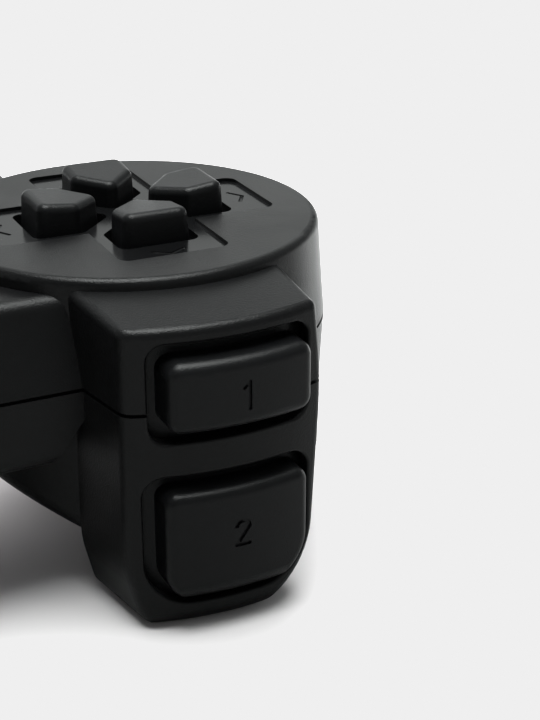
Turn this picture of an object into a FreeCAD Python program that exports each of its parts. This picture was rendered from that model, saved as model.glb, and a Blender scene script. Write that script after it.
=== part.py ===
import FreeCAD, Part
import math
import os

os.makedirs("parts", exist_ok=True)

V = FreeCAD.Vector

# Frame: X to the player's right, Y away from the player, Z up from the table.
# The origin is on the table, under the pad's middle.
# Wings, in mm. A wing's own coordinates have their zero at the drum's axis, with +X towards the middle.
WING_X = 49.0
WING_Y = 9.0
DRUM_TOP = 45.5
SEAM_Z = 31.3
WALL = 2.0
SKIN_FILLET = 1.15

# How near a point lies to a face that it counts as being on
NEAR = 0.01
NEAR_CONE = 0.05

# Drum: the round body under the direction keys or the face buttons
DRUM_RIM_R = 27.0
DRUM_SEAM_R = DRUM_RIM_R + 1.0
DRUM_LOW_R = DRUM_RIM_R + 0.5
DRUM_LOW_Z = 22.5
DRUM_BASE_R = DRUM_RIM_R + 0.1
DRUM_BASE_Z = 1.5
DRUM_BASE_FILLET = 10.0
FLANK_SLOPE = 0.61
FLANK_Z = -0.5
FLANK_FILLET = 3.0

# Shoulder block and leg: carries the two shoulder buttons, and its foot rests on the table
SHOULDER_R = 37.0
SHOULDER_OUT_TOP_X = 11.95
SHOULDER_OUT_X = 13.5
SHOULDER_OUT_FOOT_X = 11.3
SHOULDER_OUT_BELLY_R = 60.0
SHOULDER_SIDE_WALL = 1.2
SHOULDER_IN_FRONT = (14.0, 34.3)
SHOULDER_IN_BACK = (16.2, 22.0)
SHOULDER_HOLLOW_Y = 12.0
SHOULDER_HOLLOW_Z = 13.0
SHOULDER_TOP_BACK_DROP = 1.5
SHOULDER_TOP_FRONT_DROP = 3.1
SHOULDER_FOOT_OUT_FILLET = 12.0
SHOULDER_FOOT_IN_LEAN = 2.0
SHOULDER_FOOT_IN_HIGH = 8.5
SHOULDER_FOOT_IN_BEND_R = 16.0
SHOULDER_FOOT_IN_FILLET = 3.4
SHOULDER_CORNER_FILLET = 2.5
SHOULDER_CORNER_FROM_X = 4.0
SHOULDER_EDGE_FILLET = 1.2
SHOULDER_TOE_FILLET = 3.3
SHOULDER_TOE_STANDOFF = 0.05

# Centre block between the drums
CENTRE_TOP = 43.2
CENTRE_BASE = 21.0
CENTRE_FRONT_Y = 33.6
CENTRE_TOP_FRONT_Y = 30.2
CENTRE_BACK_Y = -22.0
CENTRE_BASE_HALF = 28.5
CENTRE_REACH_X = 40.0
CENTRE_CORNER_SLOPE = 1.28
CENTRE_FILLET = 2.2

# Stick boss: the round tower that a thumb stick stands in
BOSS_X = 23.5
BOSS_Y = -23.5
BOSS_R = 17.5
BOSS_TOP = 43.4
BOSS_BASE = 18.0
BOSS_BASE_FILLET = 8.0
BOSS_TOP_FILLET = 1.7

# Grip: a round handle that tapers, splays and droops
GRIP_START = (-2.0, -8.0, 21.0)
GRIP_TIP = (-13.0, -44.7, 12.4)
GRIP_RADII = (17.5, 16.6, 15.0, 13.4, 12.8)

# Seam between the shells: level, then down along the grips
SEAM_BEND_Y = -14.0
SEAM_TIP_Z = 12.4
SEAM_BEND_R = 45.0
SEAM_GROOVE = 0.5
SEAM_GROOVE_DEPTH = 0.8

# Tongue and groove that lines the shells up
TONGUE_SETBACK = 1.15
TONGUE_HEIGHT = 1.0
TONGUE_CLEARANCE = 0.1

# Running and sliding gaps between pieces
SLIDE_GAP = 0.25
PIN_GAP = 0.05
THREAD_GAP = 0.02
TOUCH_GAP = 0.25

# Cross-shaped recess in the top of each drum, and the engraved arrow outside each direction key
CROSS_Y = -1.5
CROSS_HALF = 7.8
CROSS_REACH = DRUM_RIM_R - 6.6
CROSS_DEPTH = 0.5
CROSS_CORNER = 1.6
ARROW_OUT = CROSS_REACH - 3.1
ARROW_HALF = 2.2
ARROW_RISE = 1.3
ARROW_LINE_R = 0.3

# Direction keys: a five-sided head that points at the middle of the cross
KEY_APEX = 3.2
KEY_HALF = 4.9
KEY_OUT = CROSS_REACH - 6.5
KEY_RISE = 3.8
KEY_CORNER = 1.5
KEY_EDGE = 1.1
KEY_TOP_TILT = 6.0
KEY_DRAFT = 0.45
KEY_WINDOW_GAP = 0.9
KEY_FLANGE_GROW = 1.7
KEY_STEM_OUT = KEY_OUT - 4.7
WINDOW_DEPTH = 3 * WALL

# Face buttons
FACE_OUT = CROSS_REACH - 7.8
FACE_R = 5.1
FACE_RISE = 3.6
FACE_EDGE = 0.9
FACE_HOLE_GAP = 0.35
FACE_FLANGE_GROW = 1.6

# Pieces under every key and button
FLANGE_THICK = 1.2
STEM_R = 2.3
STEM_RIB_HALF = 3.4
STEM_RIB_THICK = 1.0

# Select, start and mode buttons and the lamp in the centre block
SELECT_X = 11.5
SELECT_Y = 13.0
SELECT_SIZE = (7.6, 3.6)
MODE_Y = 2.0
MODE_SIZE = (5.4, 3.4)
SMALL_RISE = 1.2
SMALL_EDGE = 0.45
PILL_END = 0.98
LAMP_Y = 12.0
LAMP_R = 1.3

# Main board and the rubber dome mats on it
BOARD_Z = 26.4
BOARD_THICK = 1.6
BOARD_DRUM_R = DRUM_RIM_R - 4.1
BOARD_DRUM_FRONT_Y = 21.0
BOARD_BOSS_R = 14.4
BOARD_CENTRE = (30.0, -17.0, 25.0)
MAT_THICK = 0.8
MAT_CROSS_R = KEY_STEM_OUT + 6.0
MAT_CENTRE = (16.5, 4.0, 4.6)
MAT_FACE_R = FACE_OUT + 4.2
DOME_TOP_R = 2.6
DOME_BASE_R = 3.7
DOME_RISE = 3.8
DOME_SKIN = 0.6
CONTROLLER_SIZE = (10.0, 10.0, 1.2)
CONTROLLER_Y = -9.0
CRYSTAL_SIZE = (4.5, 9.0, 3.2)
CRYSTAL_X = 11.0
CONNECTOR_SIZE = (9.0, 4.0, 4.5)
CONNECTOR_MOUTH = (7.2, 2.0, 4.5)
CONNECTOR_FLOOR = 1.5
CONNECTOR_X = -11.0
CONNECTOR_Y = 22.0
LAMP_CHIP = 1.6
COLUMN_GAP = 0.3

# Shoulder buttons: an upper one that slides and a lower one that swings
BUMPER_X = (-10.3, 9.4)
BUMPER_Z = (29.1, 38.6)
BUMPER_FACE_R = 39.5
BUMPER_CORNER = 2.0
BUMPER_EDGE = 1.6
BUMPER_WINDOW_X = (-10.85, 11.0)
BUMPER_WINDOW_Z = (27.1, 40.5)
BUMPER_WINDOW_CORNER = 2.4
TRIGGER_X = (-10.0, 9.9)
TRIGGER_Z = (4.7, 20.7)
TRIGGER_FACE_R = 39.0
TRIGGER_CORNER = 2.0
TRIGGER_LOW_CORNERS = (6.7, 4.5)
TRIGGER_EDGE = 1.5
TRIGGER_TOE_R = 3.2
TRIGGER_WINDOW_X = (-10.9, 12.0)
TRIGGER_WINDOW_Z = (3.8, 22.4)
TRIGGER_WINDOW_CORNER = 3.0
TRIGGER_WINDOW_LOW_CORNERS = (7.4, 6.2)
TRIGGER_AXIS_Y = 30.6
TRIGGER_AXIS_Z = 22.2
TRIGGER_BARREL_R = 1.8
TRIGGER_BARREL_HALF = 5.6
TRIGGER_PIN_R = 0.9
WINDOW_FILLET = 0.4
SHOULDER_FLANGE_THICK = 1.2
SHOULDER_FLANGE_X = (-13.0, 11.6)
BUMPER_FLANGE_Z = (26.3, 39.9)
BUMPER_FLANGE_GAP = 0.4
TRIGGER_FLANGE_Z = (WALL, 22.8)
TRIGGER_FLANGE_GAP = 1.0
SHOULDER_FLANGE_CORNER = 6.0
PLUNGER_R = 2.2
BUMPER_DOME_Z = 33.5
TRIGGER_DOME_Z = 10.5
NUMERAL_DEPTH = 0.35
BUMPER_NUMERAL = (-0.9, 33.5)
ONE_HEIGHT = 3.7
ONE_FLAG = (0.8, 0.75)
ONE_LINE_R = 0.24
TRIGGER_NUMERAL = (0.0, 14.1)
TWO_HEIGHT = 3.4
TWO_ARCH_R = 0.9
TWO_LINE_R = 0.28

# Bracket, board and dome pad behind the shoulder buttons
RIBBON_HALF = 4.0
RIBBON_THICK = 0.25
RIBBON_LAP = 4.0
BRACKET_Y = 24.3
BRACKET_THICK = 1.4
BRACKET_HALF = 12.6
BRACKET_TOP = 39.6
BRACKET_FIT = 0.05
BRACKET_FOOT_CORNER = 6.6
SHELF_Z = (24.6, 26.0)
SHELF_Y = (28.4, 32.0)
SHELF_ARM_X = 11.0
EAR_X = 6.0
EAR_THICK = 1.8
EAR_R = 1.8
SHOULDER_BOARD_THICK = 1.2
SHOULDER_BOARD_HALF = 9.0
SHOULDER_BOARD_Z = (7.0, 38.5)
SHOULDER_BOARD_CORNER = 2.0
SHOULDER_PAD_THICK = 0.7
SHOULDER_DOME_RISE = 2.6

# Screws and the columns that take them, in a wing's own coordinates
SHELL_SCREW_PLACES = ((-20.0, 12.0), (19.5, -11.0), (-12.4, -43.5))
CENTRE_SCREW_Y = 22.0
COLUMN_R = 4.0
SCREW_R = 1.2
SCREW_CLEAR_R = 1.6
SCREW_HEAD_R = 2.5
SCREW_HEAD_THICK = 1.6
SCREW_WELL_R = 2.8
SCREW_WELL_BELOW_SEAM = 6.0
SCREW_BITE = 3.4
SCREW_SLOT = 0.6
SCREW_SLOT_DEPTH = 0.6
SCREW_SLOT_MARGIN = 0.7
BOARD_SCREW_PLACES = ((12.0, 15.5), (-17.5, -12.0))
BOARD_COLUMN_R = 2.4
BOARD_SCREW_R = 0.9
BOARD_SCREW_HEAD_R = 1.9
BOARD_SCREW_HEAD_THICK = 1.2
BOARD_SCREW_LENGTH = 6.0

# Thumb stick: a gimbal that turns about two crossed axes through its pivot
PIVOT_Z = 35.2
STICK_PRESS = 0.5
CAP_TOP = 56.0
CAP_R = 9.3
CAP_THICK = 4.0
CAP_CROWN = 1.1
CAP_EDGE = 1.3
CAP_NECK_R = 4.6
DOME_R = 12.4
CAP_DOME_SKIN = 1.2
CAP_DOME_ANGLE = 80.0
STICK_HOLE_R = 11.7
STICK_HOLE_RIM = 1.3
SHAFT_R = 1.3
SHAFT_BOTTOM = 31.4
SHAFT_TOP = 52.5
FRAME_HALF = 7.2
FRAME_WALL = 0.8
FRAME_TOP = 36.7
FRAME_OPENING = 5.9
GIMBAL_X = 4.8
GIMBAL_Y = 4.0
GIMBAL_HALF_THICK = 1.2
GIMBAL_HOLE = (3.1, 2.7)
AXLE_R = 0.8
AXLE_REACH = 7.9
PIVOT_BLOCK = (2.4, 2.3)
PIVOT_BLOCK_HALF_THICK = 1.4
TRUNNION_R = 0.6
BAIL_HALF_WIDTH = 1.9
BAIL_Y = (4.4, 5.4)
BAIL_Z = (-1.2, 3.4, 4.5)
BAIL_SLOT = (1.65, 3.6)
SENSOR_THICK = 2.6
SENSOR_HALF = 4.6
SENSOR_TOP = 33.6
SENSOR_HEAD_R = 3.2
SWITCH_HALF = 2.0
SWITCH_TOP = 29.3
SWITCH_BUTTON_R = 1.2
SHAFT_NUB_R = 1.0
SHAFT_NUB_BOTTOM = 30.4
SHAFT_FOOT_R = 3.8
SHAFT_FOOT_THICK = 0.8
SPRING_R = 3.3
SPRING_WIRE_R = 0.25

# Rumble motors, in a wing's own coordinates, with their axes along Y
MOTOR_X = -6.0
MOTOR_Z = 16.0
MOTOR_R = 8.0
MOTOR_Y = (-26.0, -8.0)
MOTOR_NOSE_R = 2.6
MOTOR_NOSE = 0.8
MOTOR_BACK_R = 5.0
MOTOR_SHAFT_R = 0.75
MOTOR_SHAFT_IN = 6.0
WEIGHT_GAP = 0.4
WEIGHT_THICK = 5.0
WEIGHT_R = 7.0
WEIGHT_HUB_R = 2.4
SADDLE_THICK = 1.6
SADDLE_GAP = 0.05
SADDLE_Y = (-22.5, -12.5)

# Gland that the lead leaves through, clamped between the shells at the front
GLAND_BORE_R = 2.1
GLAND_NECK_R = 3.2
GLAND_FLANGE_R = 4.6
GLAND_FLANGE_THICK = 2.6
GLAND_LIP_R = 3.9
GLAND_LIP = 1.6


def rounded_wire(corners):
    """A closed outline through corners (x, y, radius), each rounded by its own radius."""
    count = len(corners)
    marks = []
    for i, (x, y, radius) in enumerate(corners):
        here = V(x, y, 0)
        before = V(corners[i - 1][0], corners[i - 1][1], 0) - here
        after = V(corners[(i + 1) % count][0], corners[(i + 1) % count][1], 0) - here
        before.normalize()
        after.normalize()
        if radius <= 0:
            marks.append((here, here, here))
            continue
        half = 0.5 * before.getAngle(after)
        back = radius / math.tan(half)
        middle = before + after
        middle.normalize()
        crown = here + middle * (radius / math.sin(half) - radius)
        marks.append((here + before * back, crown, here + after * back))
    edges = []
    for i, (start, middle, end) in enumerate(marks):
        if (end - start).Length > 1e-6:
            edges.append(Part.Arc(start, middle, end).toShape())
        following = marks[(i + 1) % count][0]
        if (following - end).Length > 1e-6:
            edges.append(Part.makeLine(end, following))
    return Part.Wire(edges)


def plate(corners, z0, z1):
    """A flat plate whose outline lies in the XY plane."""
    solid = Part.Face(rounded_wire(corners)).extrude(V(0, 0, z1 - z0))
    solid.translate(V(0, 0, z0))
    return solid


def front_plate(corners, y0, y1):
    """A plate whose outline is given in X and Z, from y0 to y1."""
    solid = plate(corners, 0, y1 - y0)
    solid.rotate(V(0, 0, 0), V(1, 0, 0), 90)
    solid.translate(V(0, y1, 0))
    return solid


def side_plate(corners, x0, x1):
    """A plate whose outline is given in Y and Z, from x0 to x1."""
    solid = plate(corners, 0, x1 - x0)
    solid.transformShape(FreeCAD.Matrix(0, 0, 1, x0, 1, 0, 0, 0, 0, 1, 0, 0, 0, 0, 0, 1), True)
    return solid


def turned(corners, x=0.0, y=0.0):
    """A round solid about a vertical axis, from corners (radius, height, rounding)."""
    face = Part.Face(rounded_wire(corners))
    face.rotate(V(0, 0, 0), V(1, 0, 0), 90)
    solid = face.revolve(V(0, 0, 0), V(0, 0, 1), 360)
    solid.translate(V(x, y, 0))
    return solid


def rod(radius, start, end):
    """A round bar from start to end."""
    a = V(*start)
    b = V(*end)
    return Part.makeCylinder(radius, (b - a).Length, a, b - a)


def tube(outer, inner, start, end):
    return rod(outer, start, end).cut(rod(inner, start, end))


def block(x0, x1, y0, y1, z0, z1):
    return Part.makeBox(x1 - x0, y1 - y0, z1 - z0, V(x0, y0, z0))


def joined(first, *others):
    return first.multiFuse(list(others)).removeSplitter()


def middle_of(edge):
    return edge.valueAt(0.5 * (edge.FirstParameter + edge.LastParameter))


def rounded_edges(solid, radius, chosen):
    """The solid with a fillet on each edge whose two ends and middle pass the test."""
    edges = []
    for edge in solid.Edges:
        if edge.Length < 1e-3:
            continue
        points = [edge.valueAt(edge.FirstParameter), middle_of(edge), edge.valueAt(edge.LastParameter)]
        if all(chosen(p) for p in points):
            edges.append(edge)
    return solid.makeFillet(radius, edges)


def on_left(shape):
    """Moves a piece from a wing's own coordinates to the left wing."""
    moved = shape.copy()
    moved.translate(V(-WING_X, WING_Y, 0))
    return moved


def on_right(shape):
    return on_left(shape).mirror(V(0, 0, 0), V(1, 0, 0))


def drum_form(inset):
    top = DRUM_TOP - inset
    base = DRUM_BASE_Z + inset
    solid = turned([
        (0, top, 0),
        (DRUM_RIM_R - inset, top, 0 if inset else SKIN_FILLET),
        (DRUM_SEAM_R - inset, SEAM_Z, 0),
        (DRUM_LOW_R - inset, DRUM_LOW_Z, 0),
        (DRUM_BASE_R - inset, base, DRUM_BASE_FILLET - inset),
        (0, base, 0),
    ])
    reach = 2 * DRUM_SEAM_R
    rise = FLANK_Z + inset * math.hypot(1, FLANK_SLOPE)
    flank = front_plate([
        (-reach, rise - FLANK_SLOPE * reach, 0),
        (-reach, -reach, 0),
        (reach, -reach, 0),
        (reach, rise + FLANK_SLOPE * reach, 0),
    ], -reach, reach)
    return solid.cut(flank)


def outer_side(inset, inner_x, inner_corner):
    """Everything between the leg's outer side, its floor and a place inside it, moved in by the inset."""
    side = inset * SHOULDER_SIDE_WALL / WALL
    return front_plate([
        (side - SHOULDER_OUT_TOP_X, DRUM_TOP, 0),
        (side - SHOULDER_OUT_X, SEAM_Z, SHOULDER_OUT_BELLY_R - side),
        (side - SHOULDER_OUT_FOOT_X, inset, SHOULDER_FOOT_OUT_FILLET - inset),
        (inner_x, inset, inner_corner),
        (inner_x, DRUM_TOP, 0),
    ], SHOULDER_HOLLOW_Y, SHOULDER_R)


def inner_foot(inset):
    """Everything on the outer side of the leg's inner wall, which leans in above the foot."""
    wall = SHOULDER_IN_FRONT[0] - inset
    return front_plate([
        (-2 * SHOULDER_R, inset, 0),
        (wall - SHOULDER_FOOT_IN_LEAN, inset, SHOULDER_FOOT_IN_FILLET - inset),
        (wall, SHOULDER_FOOT_IN_HIGH, SHOULDER_FOOT_IN_BEND_R - inset),
        (wall, DRUM_TOP, 0),
        (-2 * SHOULDER_R, DRUM_TOP, 0),
    ], -SHOULDER_R, 2 * SHOULDER_R)


def shoulder_toe():
    """Limit of the leg that rounds the edge between its front and its foot."""
    reach = SHOULDER_R + SHOULDER_TOE_STANDOFF
    return turned([
        (0, -SHOULDER_TOE_STANDOFF, 0),
        (reach, -SHOULDER_TOE_STANDOFF, SHOULDER_TOE_FILLET),
        (reach, DRUM_TOP, 0),
        (0, DRUM_TOP, 0),
    ])


def shoulder_form(inset):
    front_r = SHOULDER_R - inset
    lean = (SHOULDER_IN_BACK[0] - SHOULDER_IN_FRONT[0]) / (SHOULDER_IN_FRONT[1] - SHOULDER_IN_BACK[1])
    heel_y = SHOULDER_IN_BACK[1] + inset

    def inner_wall(y):
        return SHOULDER_IN_FRONT[0] + lean * (SHOULDER_IN_FRONT[1] - y) - inset

    drop = (SHOULDER_TOP_FRONT_DROP - SHOULDER_TOP_BACK_DROP) / (SHOULDER_R - DRUM_RIM_R)
    back_z = DRUM_TOP - SHOULDER_TOP_BACK_DROP - inset
    limit = turned([
        (0, inset, 0),
        (front_r, inset, 0),
        (front_r, back_z - drop * (front_r - DRUM_RIM_R), 0),
        (0, back_z + drop * DRUM_RIM_R, 0),
    ])
    beside_outer = outer_side(inset, SHOULDER_R, 0)
    outline = [
        (inner_wall(heel_y), heel_y, 0),
        (inner_wall(SHOULDER_R), SHOULDER_R, 0),
        (-SHOULDER_R, SHOULDER_R, 0),
        (-SHOULDER_R, heel_y, 0),
    ]
    leg = plate(outline, 0, DRUM_TOP).common(limit).common(beside_outer)
    foot = inner_foot(inset)
    foot.rotate(V(*SHOULDER_IN_FRONT, 0), V(0, 0, 1), math.degrees(math.atan(lean)))
    leg = leg.common(foot)

    def on_top(p):
        return abs(p.z - back_z + drop * (math.hypot(p.x, p.y) - DRUM_RIM_R)) < NEAR_CONE

    def on_front(p):
        return abs(math.hypot(p.x, p.y) - SHOULDER_R) < NEAR

    def on_upper_outline(p):
        beside = p.x < WALL - SHOULDER_OUT_TOP_X or p.x > inner_wall(SHOULDER_R) - WALL
        return on_top(p) and (on_front(p) or beside)

    def edged(front_fillet):
        rounded = rounded_edges(leg, front_fillet, lambda p: on_front(p) and not on_top(p))
        return rounded_edges(rounded, SHOULDER_EDGE_FILLET, on_upper_outline)

    if not inset:
        inner_part = block(SHOULDER_CORNER_FROM_X, SHOULDER_R, 0, SHOULDER_R, 0, DRUM_TOP)
        inner_half = edged(SHOULDER_CORNER_FILLET).common(inner_part)
        outer_half = edged(SHOULDER_EDGE_FILLET).cut(inner_part)
        leg = joined(inner_half, outer_half).common(shoulder_toe())
    reach = heel_y + WALL
    passage = block(
        -SHOULDER_R, inner_wall(reach), SHOULDER_HOLLOW_Y, reach,
        SHOULDER_HOLLOW_Z + inset, back_z - WALL,
    )
    return leg.fuse(passage.common(beside_outer))


def grip_form(inset):
    start = V(*GRIP_START)
    tip = V(*GRIP_TIP)
    way = tip - start
    steps = len(GRIP_RADII) - 1
    points = [V(r - inset, way.Length * i / steps, 0) for i, r in enumerate(GRIP_RADII)]
    side = Part.BSplineCurve()
    side.interpolate(Points=points, InitialTangent=V(0, 1, 0), FinalTangent=V(0, 1, 0))
    end_r = GRIP_RADII[-1] - inset
    diagonal = end_r / math.sqrt(2)
    nose = Part.Arc(points[-1], V(diagonal, way.Length + diagonal, 0), V(0, way.Length + end_r, 0))
    edges = [
        Part.makeLine(V(0, 0, 0), points[0]),
        side.toShape(),
        nose.toShape(),
        Part.makeLine(V(0, way.Length + end_r, 0), V(0, 0, 0)),
    ]
    solid = Part.Face(Part.Wire(edges)).revolve(V(0, 0, 0), V(0, 1, 0), 360)
    solid.Placement = FreeCAD.Placement(start, FreeCAD.Rotation(V(0, 1, 0), way))
    return solid


def boss_form(inset):
    return turned([
        (0, BOSS_TOP - inset, 0),
        (BOSS_R - inset, BOSS_TOP - inset, 0 if inset else BOSS_TOP_FILLET),
        (BOSS_R - inset, BOSS_BASE + inset, BOSS_BASE_FILLET - inset),
        (0, BOSS_BASE + inset, 0),
    ], WING_X - BOSS_X, BOSS_Y - WING_Y)


def centre_form(inset):
    base = CENTRE_BASE + inset
    top = CENTRE_TOP - inset
    slope = (CENTRE_FRONT_Y - CENTRE_TOP_FRONT_Y) / (CENTRE_TOP - SEAM_Z)
    soft = 0 if inset else CENTRE_FILLET
    profile = side_plate([
        (CENTRE_BACK_Y + inset, base, soft),
        (CENTRE_FRONT_Y - inset, base, soft),
        (CENTRE_FRONT_Y - inset, SEAM_Z, 0),
        (CENTRE_FRONT_Y - inset - slope * (top - SEAM_Z), top, soft),
        (CENTRE_BACK_Y + inset, top, soft),
    ], -CENTRE_REACH_X, CENTRE_REACH_X)
    spread = (CENTRE_REACH_X - CENTRE_BASE_HALF) * CENTRE_CORNER_SLOPE
    shift = inset * math.hypot(1, CENTRE_CORNER_SLOPE)
    outline = front_plate([
        (-CENTRE_REACH_X, CENTRE_BASE + spread + shift, 0),
        (-CENTRE_BASE_HALF, CENTRE_BASE + shift, 0),
        (-CENTRE_BASE_HALF + WALL, CENTRE_BASE - WALL * CENTRE_CORNER_SLOPE + shift, 0),
        (CENTRE_BASE_HALF - WALL, CENTRE_BASE - WALL * CENTRE_CORNER_SLOPE + shift, 0),
        (CENTRE_BASE_HALF, CENTRE_BASE + shift, 0),
        (CENTRE_REACH_X, CENTRE_BASE + spread + shift, 0),
        (CENTRE_REACH_X, DRUM_TOP, 0),
        (-CENTRE_REACH_X, DRUM_TOP, 0),
    ], CENTRE_BACK_Y, CENTRE_FRONT_Y)
    return profile.common(outline)


def pad_form(inset):
    """The whole pad as one solid, every wall moved in by the inset."""
    drum = drum_form(inset)
    if not inset:
        drum = rounded_edges(drum, FLANK_FILLET, on_flank_edge)
    wing = drum.multiFuse([shoulder_form(inset), grip_form(inset), boss_form(inset)])
    whole = on_left(wing).multiFuse([on_right(wing), centre_form(inset)])
    table = block(-2 * WING_X, 2 * WING_X, -2 * WING_X, 2 * WING_X, -WING_X, inset)
    return whole.cut(table)


def on_flank_edge(p):
    inside = math.hypot(p.x, p.y) > DRUM_BASE_R - DRUM_BASE_FILLET
    return inside and abs(p.z - FLANK_Z - FLANK_SLOPE * p.x) < NEAR


def seam_slope():
    """How far the seam falls per millimetre back from its bend."""
    grip_end = WING_Y + GRIP_TIP[1] - GRIP_RADII[-1]
    return (SEAM_Z - SEAM_TIP_Z) / (SEAM_BEND_Y - grip_end)


def below_seam(offset):
    """Everything under the seam surface, moved up by the offset."""
    far = 2 * WING_X
    return side_plate([
        (-far, -far, 0),
        (far, -far, 0),
        (far, SEAM_Z + offset, 0),
        (SEAM_BEND_Y, SEAM_Z + offset, SEAM_BEND_R),
        (-far, SEAM_Z + offset - seam_slope() * (far + SEAM_BEND_Y), 0),
    ], -far, far)


def seam_height(y):
    """Height of the seam at a place y in the pad's frame, away from its rounded bend."""
    return SEAM_Z + min(0.0, seam_slope() * (y - SEAM_BEND_Y))


def house(grow):
    """Outline of a direction key's head in the cross's coordinates, grown all round."""
    apex = KEY_APEX - grow * math.sqrt(2)
    half = KEY_HALF + grow
    corner = KEY_CORNER
    return [
        (apex, 0, corner),
        (apex + half, -half, corner),
        (KEY_OUT + grow, -half, corner),
        (KEY_OUT + grow, half, corner),
        (apex + half, half, corner),
    ]


def quarter_turns(shape):
    """Four copies of a piece about the middle of the cross, in the wing's coordinates."""
    copies = []
    for turn in range(4):
        piece = shape.copy()
        piece.rotate(V(0, 0, 0), V(0, 0, 1), 90 * turn)
        piece.translate(V(0, CROSS_Y, 0))
        copies.append(piece)
    return copies


def cross_recess():
    a = CROSS_HALF
    b = CROSS_REACH
    r = CROSS_CORNER
    corners = [
        (b, -a, r), (b, a, r), (a, a, 0), (a, b, r), (-a, b, r), (-a, a, 0),
        (-b, a, r), (-b, -a, r), (-a, -a, 0), (-a, -b, r), (a, -b, r), (a, -a, 0),
    ]
    recess = plate(corners, DRUM_TOP - CROSS_DEPTH, DRUM_TOP + WALL)
    recess.translate(V(0, CROSS_Y, 0))
    return recess


def arrow_mark():
    """Engraved arrow head that points away from the middle of the cross."""
    z = DRUM_TOP - CROSS_DEPTH
    tip = (ARROW_OUT + ARROW_RISE, 0, z)
    ends = [(ARROW_OUT, ARROW_HALF, z), (ARROW_OUT, -ARROW_HALF, z)]
    lines = [rod(ARROW_LINE_R, end, tip) for end in ends]
    balls = [Part.makeSphere(ARROW_LINE_R, V(*p)) for p in ends + [tip]]
    return joined(*lines, *balls)


def face_hole(grow):
    return rod(FACE_R + grow, (FACE_OUT, 0, DRUM_TOP - WINDOW_DEPTH), (FACE_OUT, 0, DRUM_TOP + WALL))


def pill(size, x, y, grow, z0, z1):
    """An upright bar with rounded ends."""
    a = 0.5 * size[0] + grow
    b = 0.5 * size[1] + grow
    r = PILL_END * b
    return plate([(x - a, y - b, r), (x + a, y - b, r), (x + a, y + b, r), (x - a, y + b, r)], z0, z1)


def small_buttons():
    """Place and size of the three buttons in the centre block."""
    return {
        "select_button": (-SELECT_X, SELECT_Y, SELECT_SIZE),
        "start_button": (SELECT_X, SELECT_Y, SELECT_SIZE),
        "mode_button": (0.0, MODE_Y, MODE_SIZE),
    }


def upright_outline(x_range, z_range, low_corners, corner):
    """Outline in X and Z; the low corners are the outer and the inner one."""
    x0, x1 = x_range
    z0, z1 = z_range
    low_out, low_in = low_corners
    return [(x0, z0, low_out), (x1, z0, low_in), (x1, z1, corner), (x0, z1, corner)]


def bumper_window():
    corner = BUMPER_WINDOW_CORNER
    outline = upright_outline(BUMPER_WINDOW_X, BUMPER_WINDOW_Z, (corner, corner), corner)
    return front_plate(outline, SHOULDER_R - WINDOW_DEPTH, SHOULDER_R + WINDOW_DEPTH)


def trigger_window():
    outline = upright_outline(
        TRIGGER_WINDOW_X, TRIGGER_WINDOW_Z, TRIGGER_WINDOW_LOW_CORNERS, TRIGGER_WINDOW_CORNER,
    )
    return front_plate(outline, SHOULDER_R - WINDOW_DEPTH, SHOULDER_R + WINDOW_DEPTH)


def screw_places():
    """Shell screw places in the pad's frame."""
    places = [(0.0, CENTRE_SCREW_Y)]
    for x, y in SHELL_SCREW_PLACES:
        places.append((x - WING_X, y + WING_Y))
        places.append((WING_X - x, y + WING_Y))
    return places


def screw_columns():
    return Part.makeCompound([rod(COLUMN_R, (x, y, 0), (x, y, DRUM_TOP)) for x, y in screw_places()])


def screw_bores():
    """Pilot hole above the seam, clearance hole below it and the well for the head."""
    bores = []
    for x, y in screw_places():
        seam = seam_height(y)
        head = seam - SCREW_WELL_BELOW_SEAM
        bores.append(rod(SCREW_WELL_R, (x, y, -WALL), (x, y, head)))
        bores.append(rod(SCREW_CLEAR_R, (x, y, head), (x, y, seam)))
        bores.append(rod(SCREW_R + THREAD_GAP, (x, y, seam), (x, y, seam + SCREW_BITE)))
    return bores


def shell_screws():
    screws = []
    for x, y in screw_places():
        seam = seam_height(y)
        head = seam - SCREW_WELL_BELOW_SEAM
        end = seam + SCREW_BITE - SLIDE_GAP
        screws.append(screw(x, y, head, SCREW_R, SCREW_HEAD_R, -SCREW_HEAD_THICK, end))
    return Part.makeCompound(screws)


def screw(x, y, seat, shank_r, head_r, head, end):
    """A cross-slot screw whose head sits on the height `seat` and whose shank ends at `end`."""
    outside = seat + head
    inside = outside - math.copysign(SCREW_SLOT_DEPTH, head)
    low, high = min(outside, inside), max(outside, inside)
    solid = joined(rod(shank_r, (x, y, seat), (x, y, end)), rod(head_r, (x, y, seat), (x, y, outside)))
    half = SCREW_SLOT / 2
    reach = head_r - SCREW_SLOT_MARGIN
    slots = [
        block(x - reach, x + reach, y - half, y + half, low, high),
        block(x - half, x + half, y - reach, y + reach, low, high),
    ]
    return solid.cut(slots)


def board_screw_places():
    places = []
    for x, y in BOARD_SCREW_PLACES:
        places.append((x - WING_X, y + WING_Y))
        places.append((WING_X - x, y + WING_Y))
    return places


def motor_saddles():
    """Ribs of the lower shell that a motor lies in, for the left wing's own coordinates."""
    ribs = []
    for y in SADDLE_Y:
        rib = block(MOTOR_X - MOTOR_R - WALL, MOTOR_X + MOTOR_R + WALL, y, y + SADDLE_THICK, 0, MOTOR_Z)
        bed = rod(MOTOR_R + SADDLE_GAP, (MOTOR_X, y - WALL, MOTOR_Z), (MOTOR_X, y + 2 * WALL, MOTOR_Z))
        ribs.append(rib.cut(bed))
    return ribs


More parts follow.
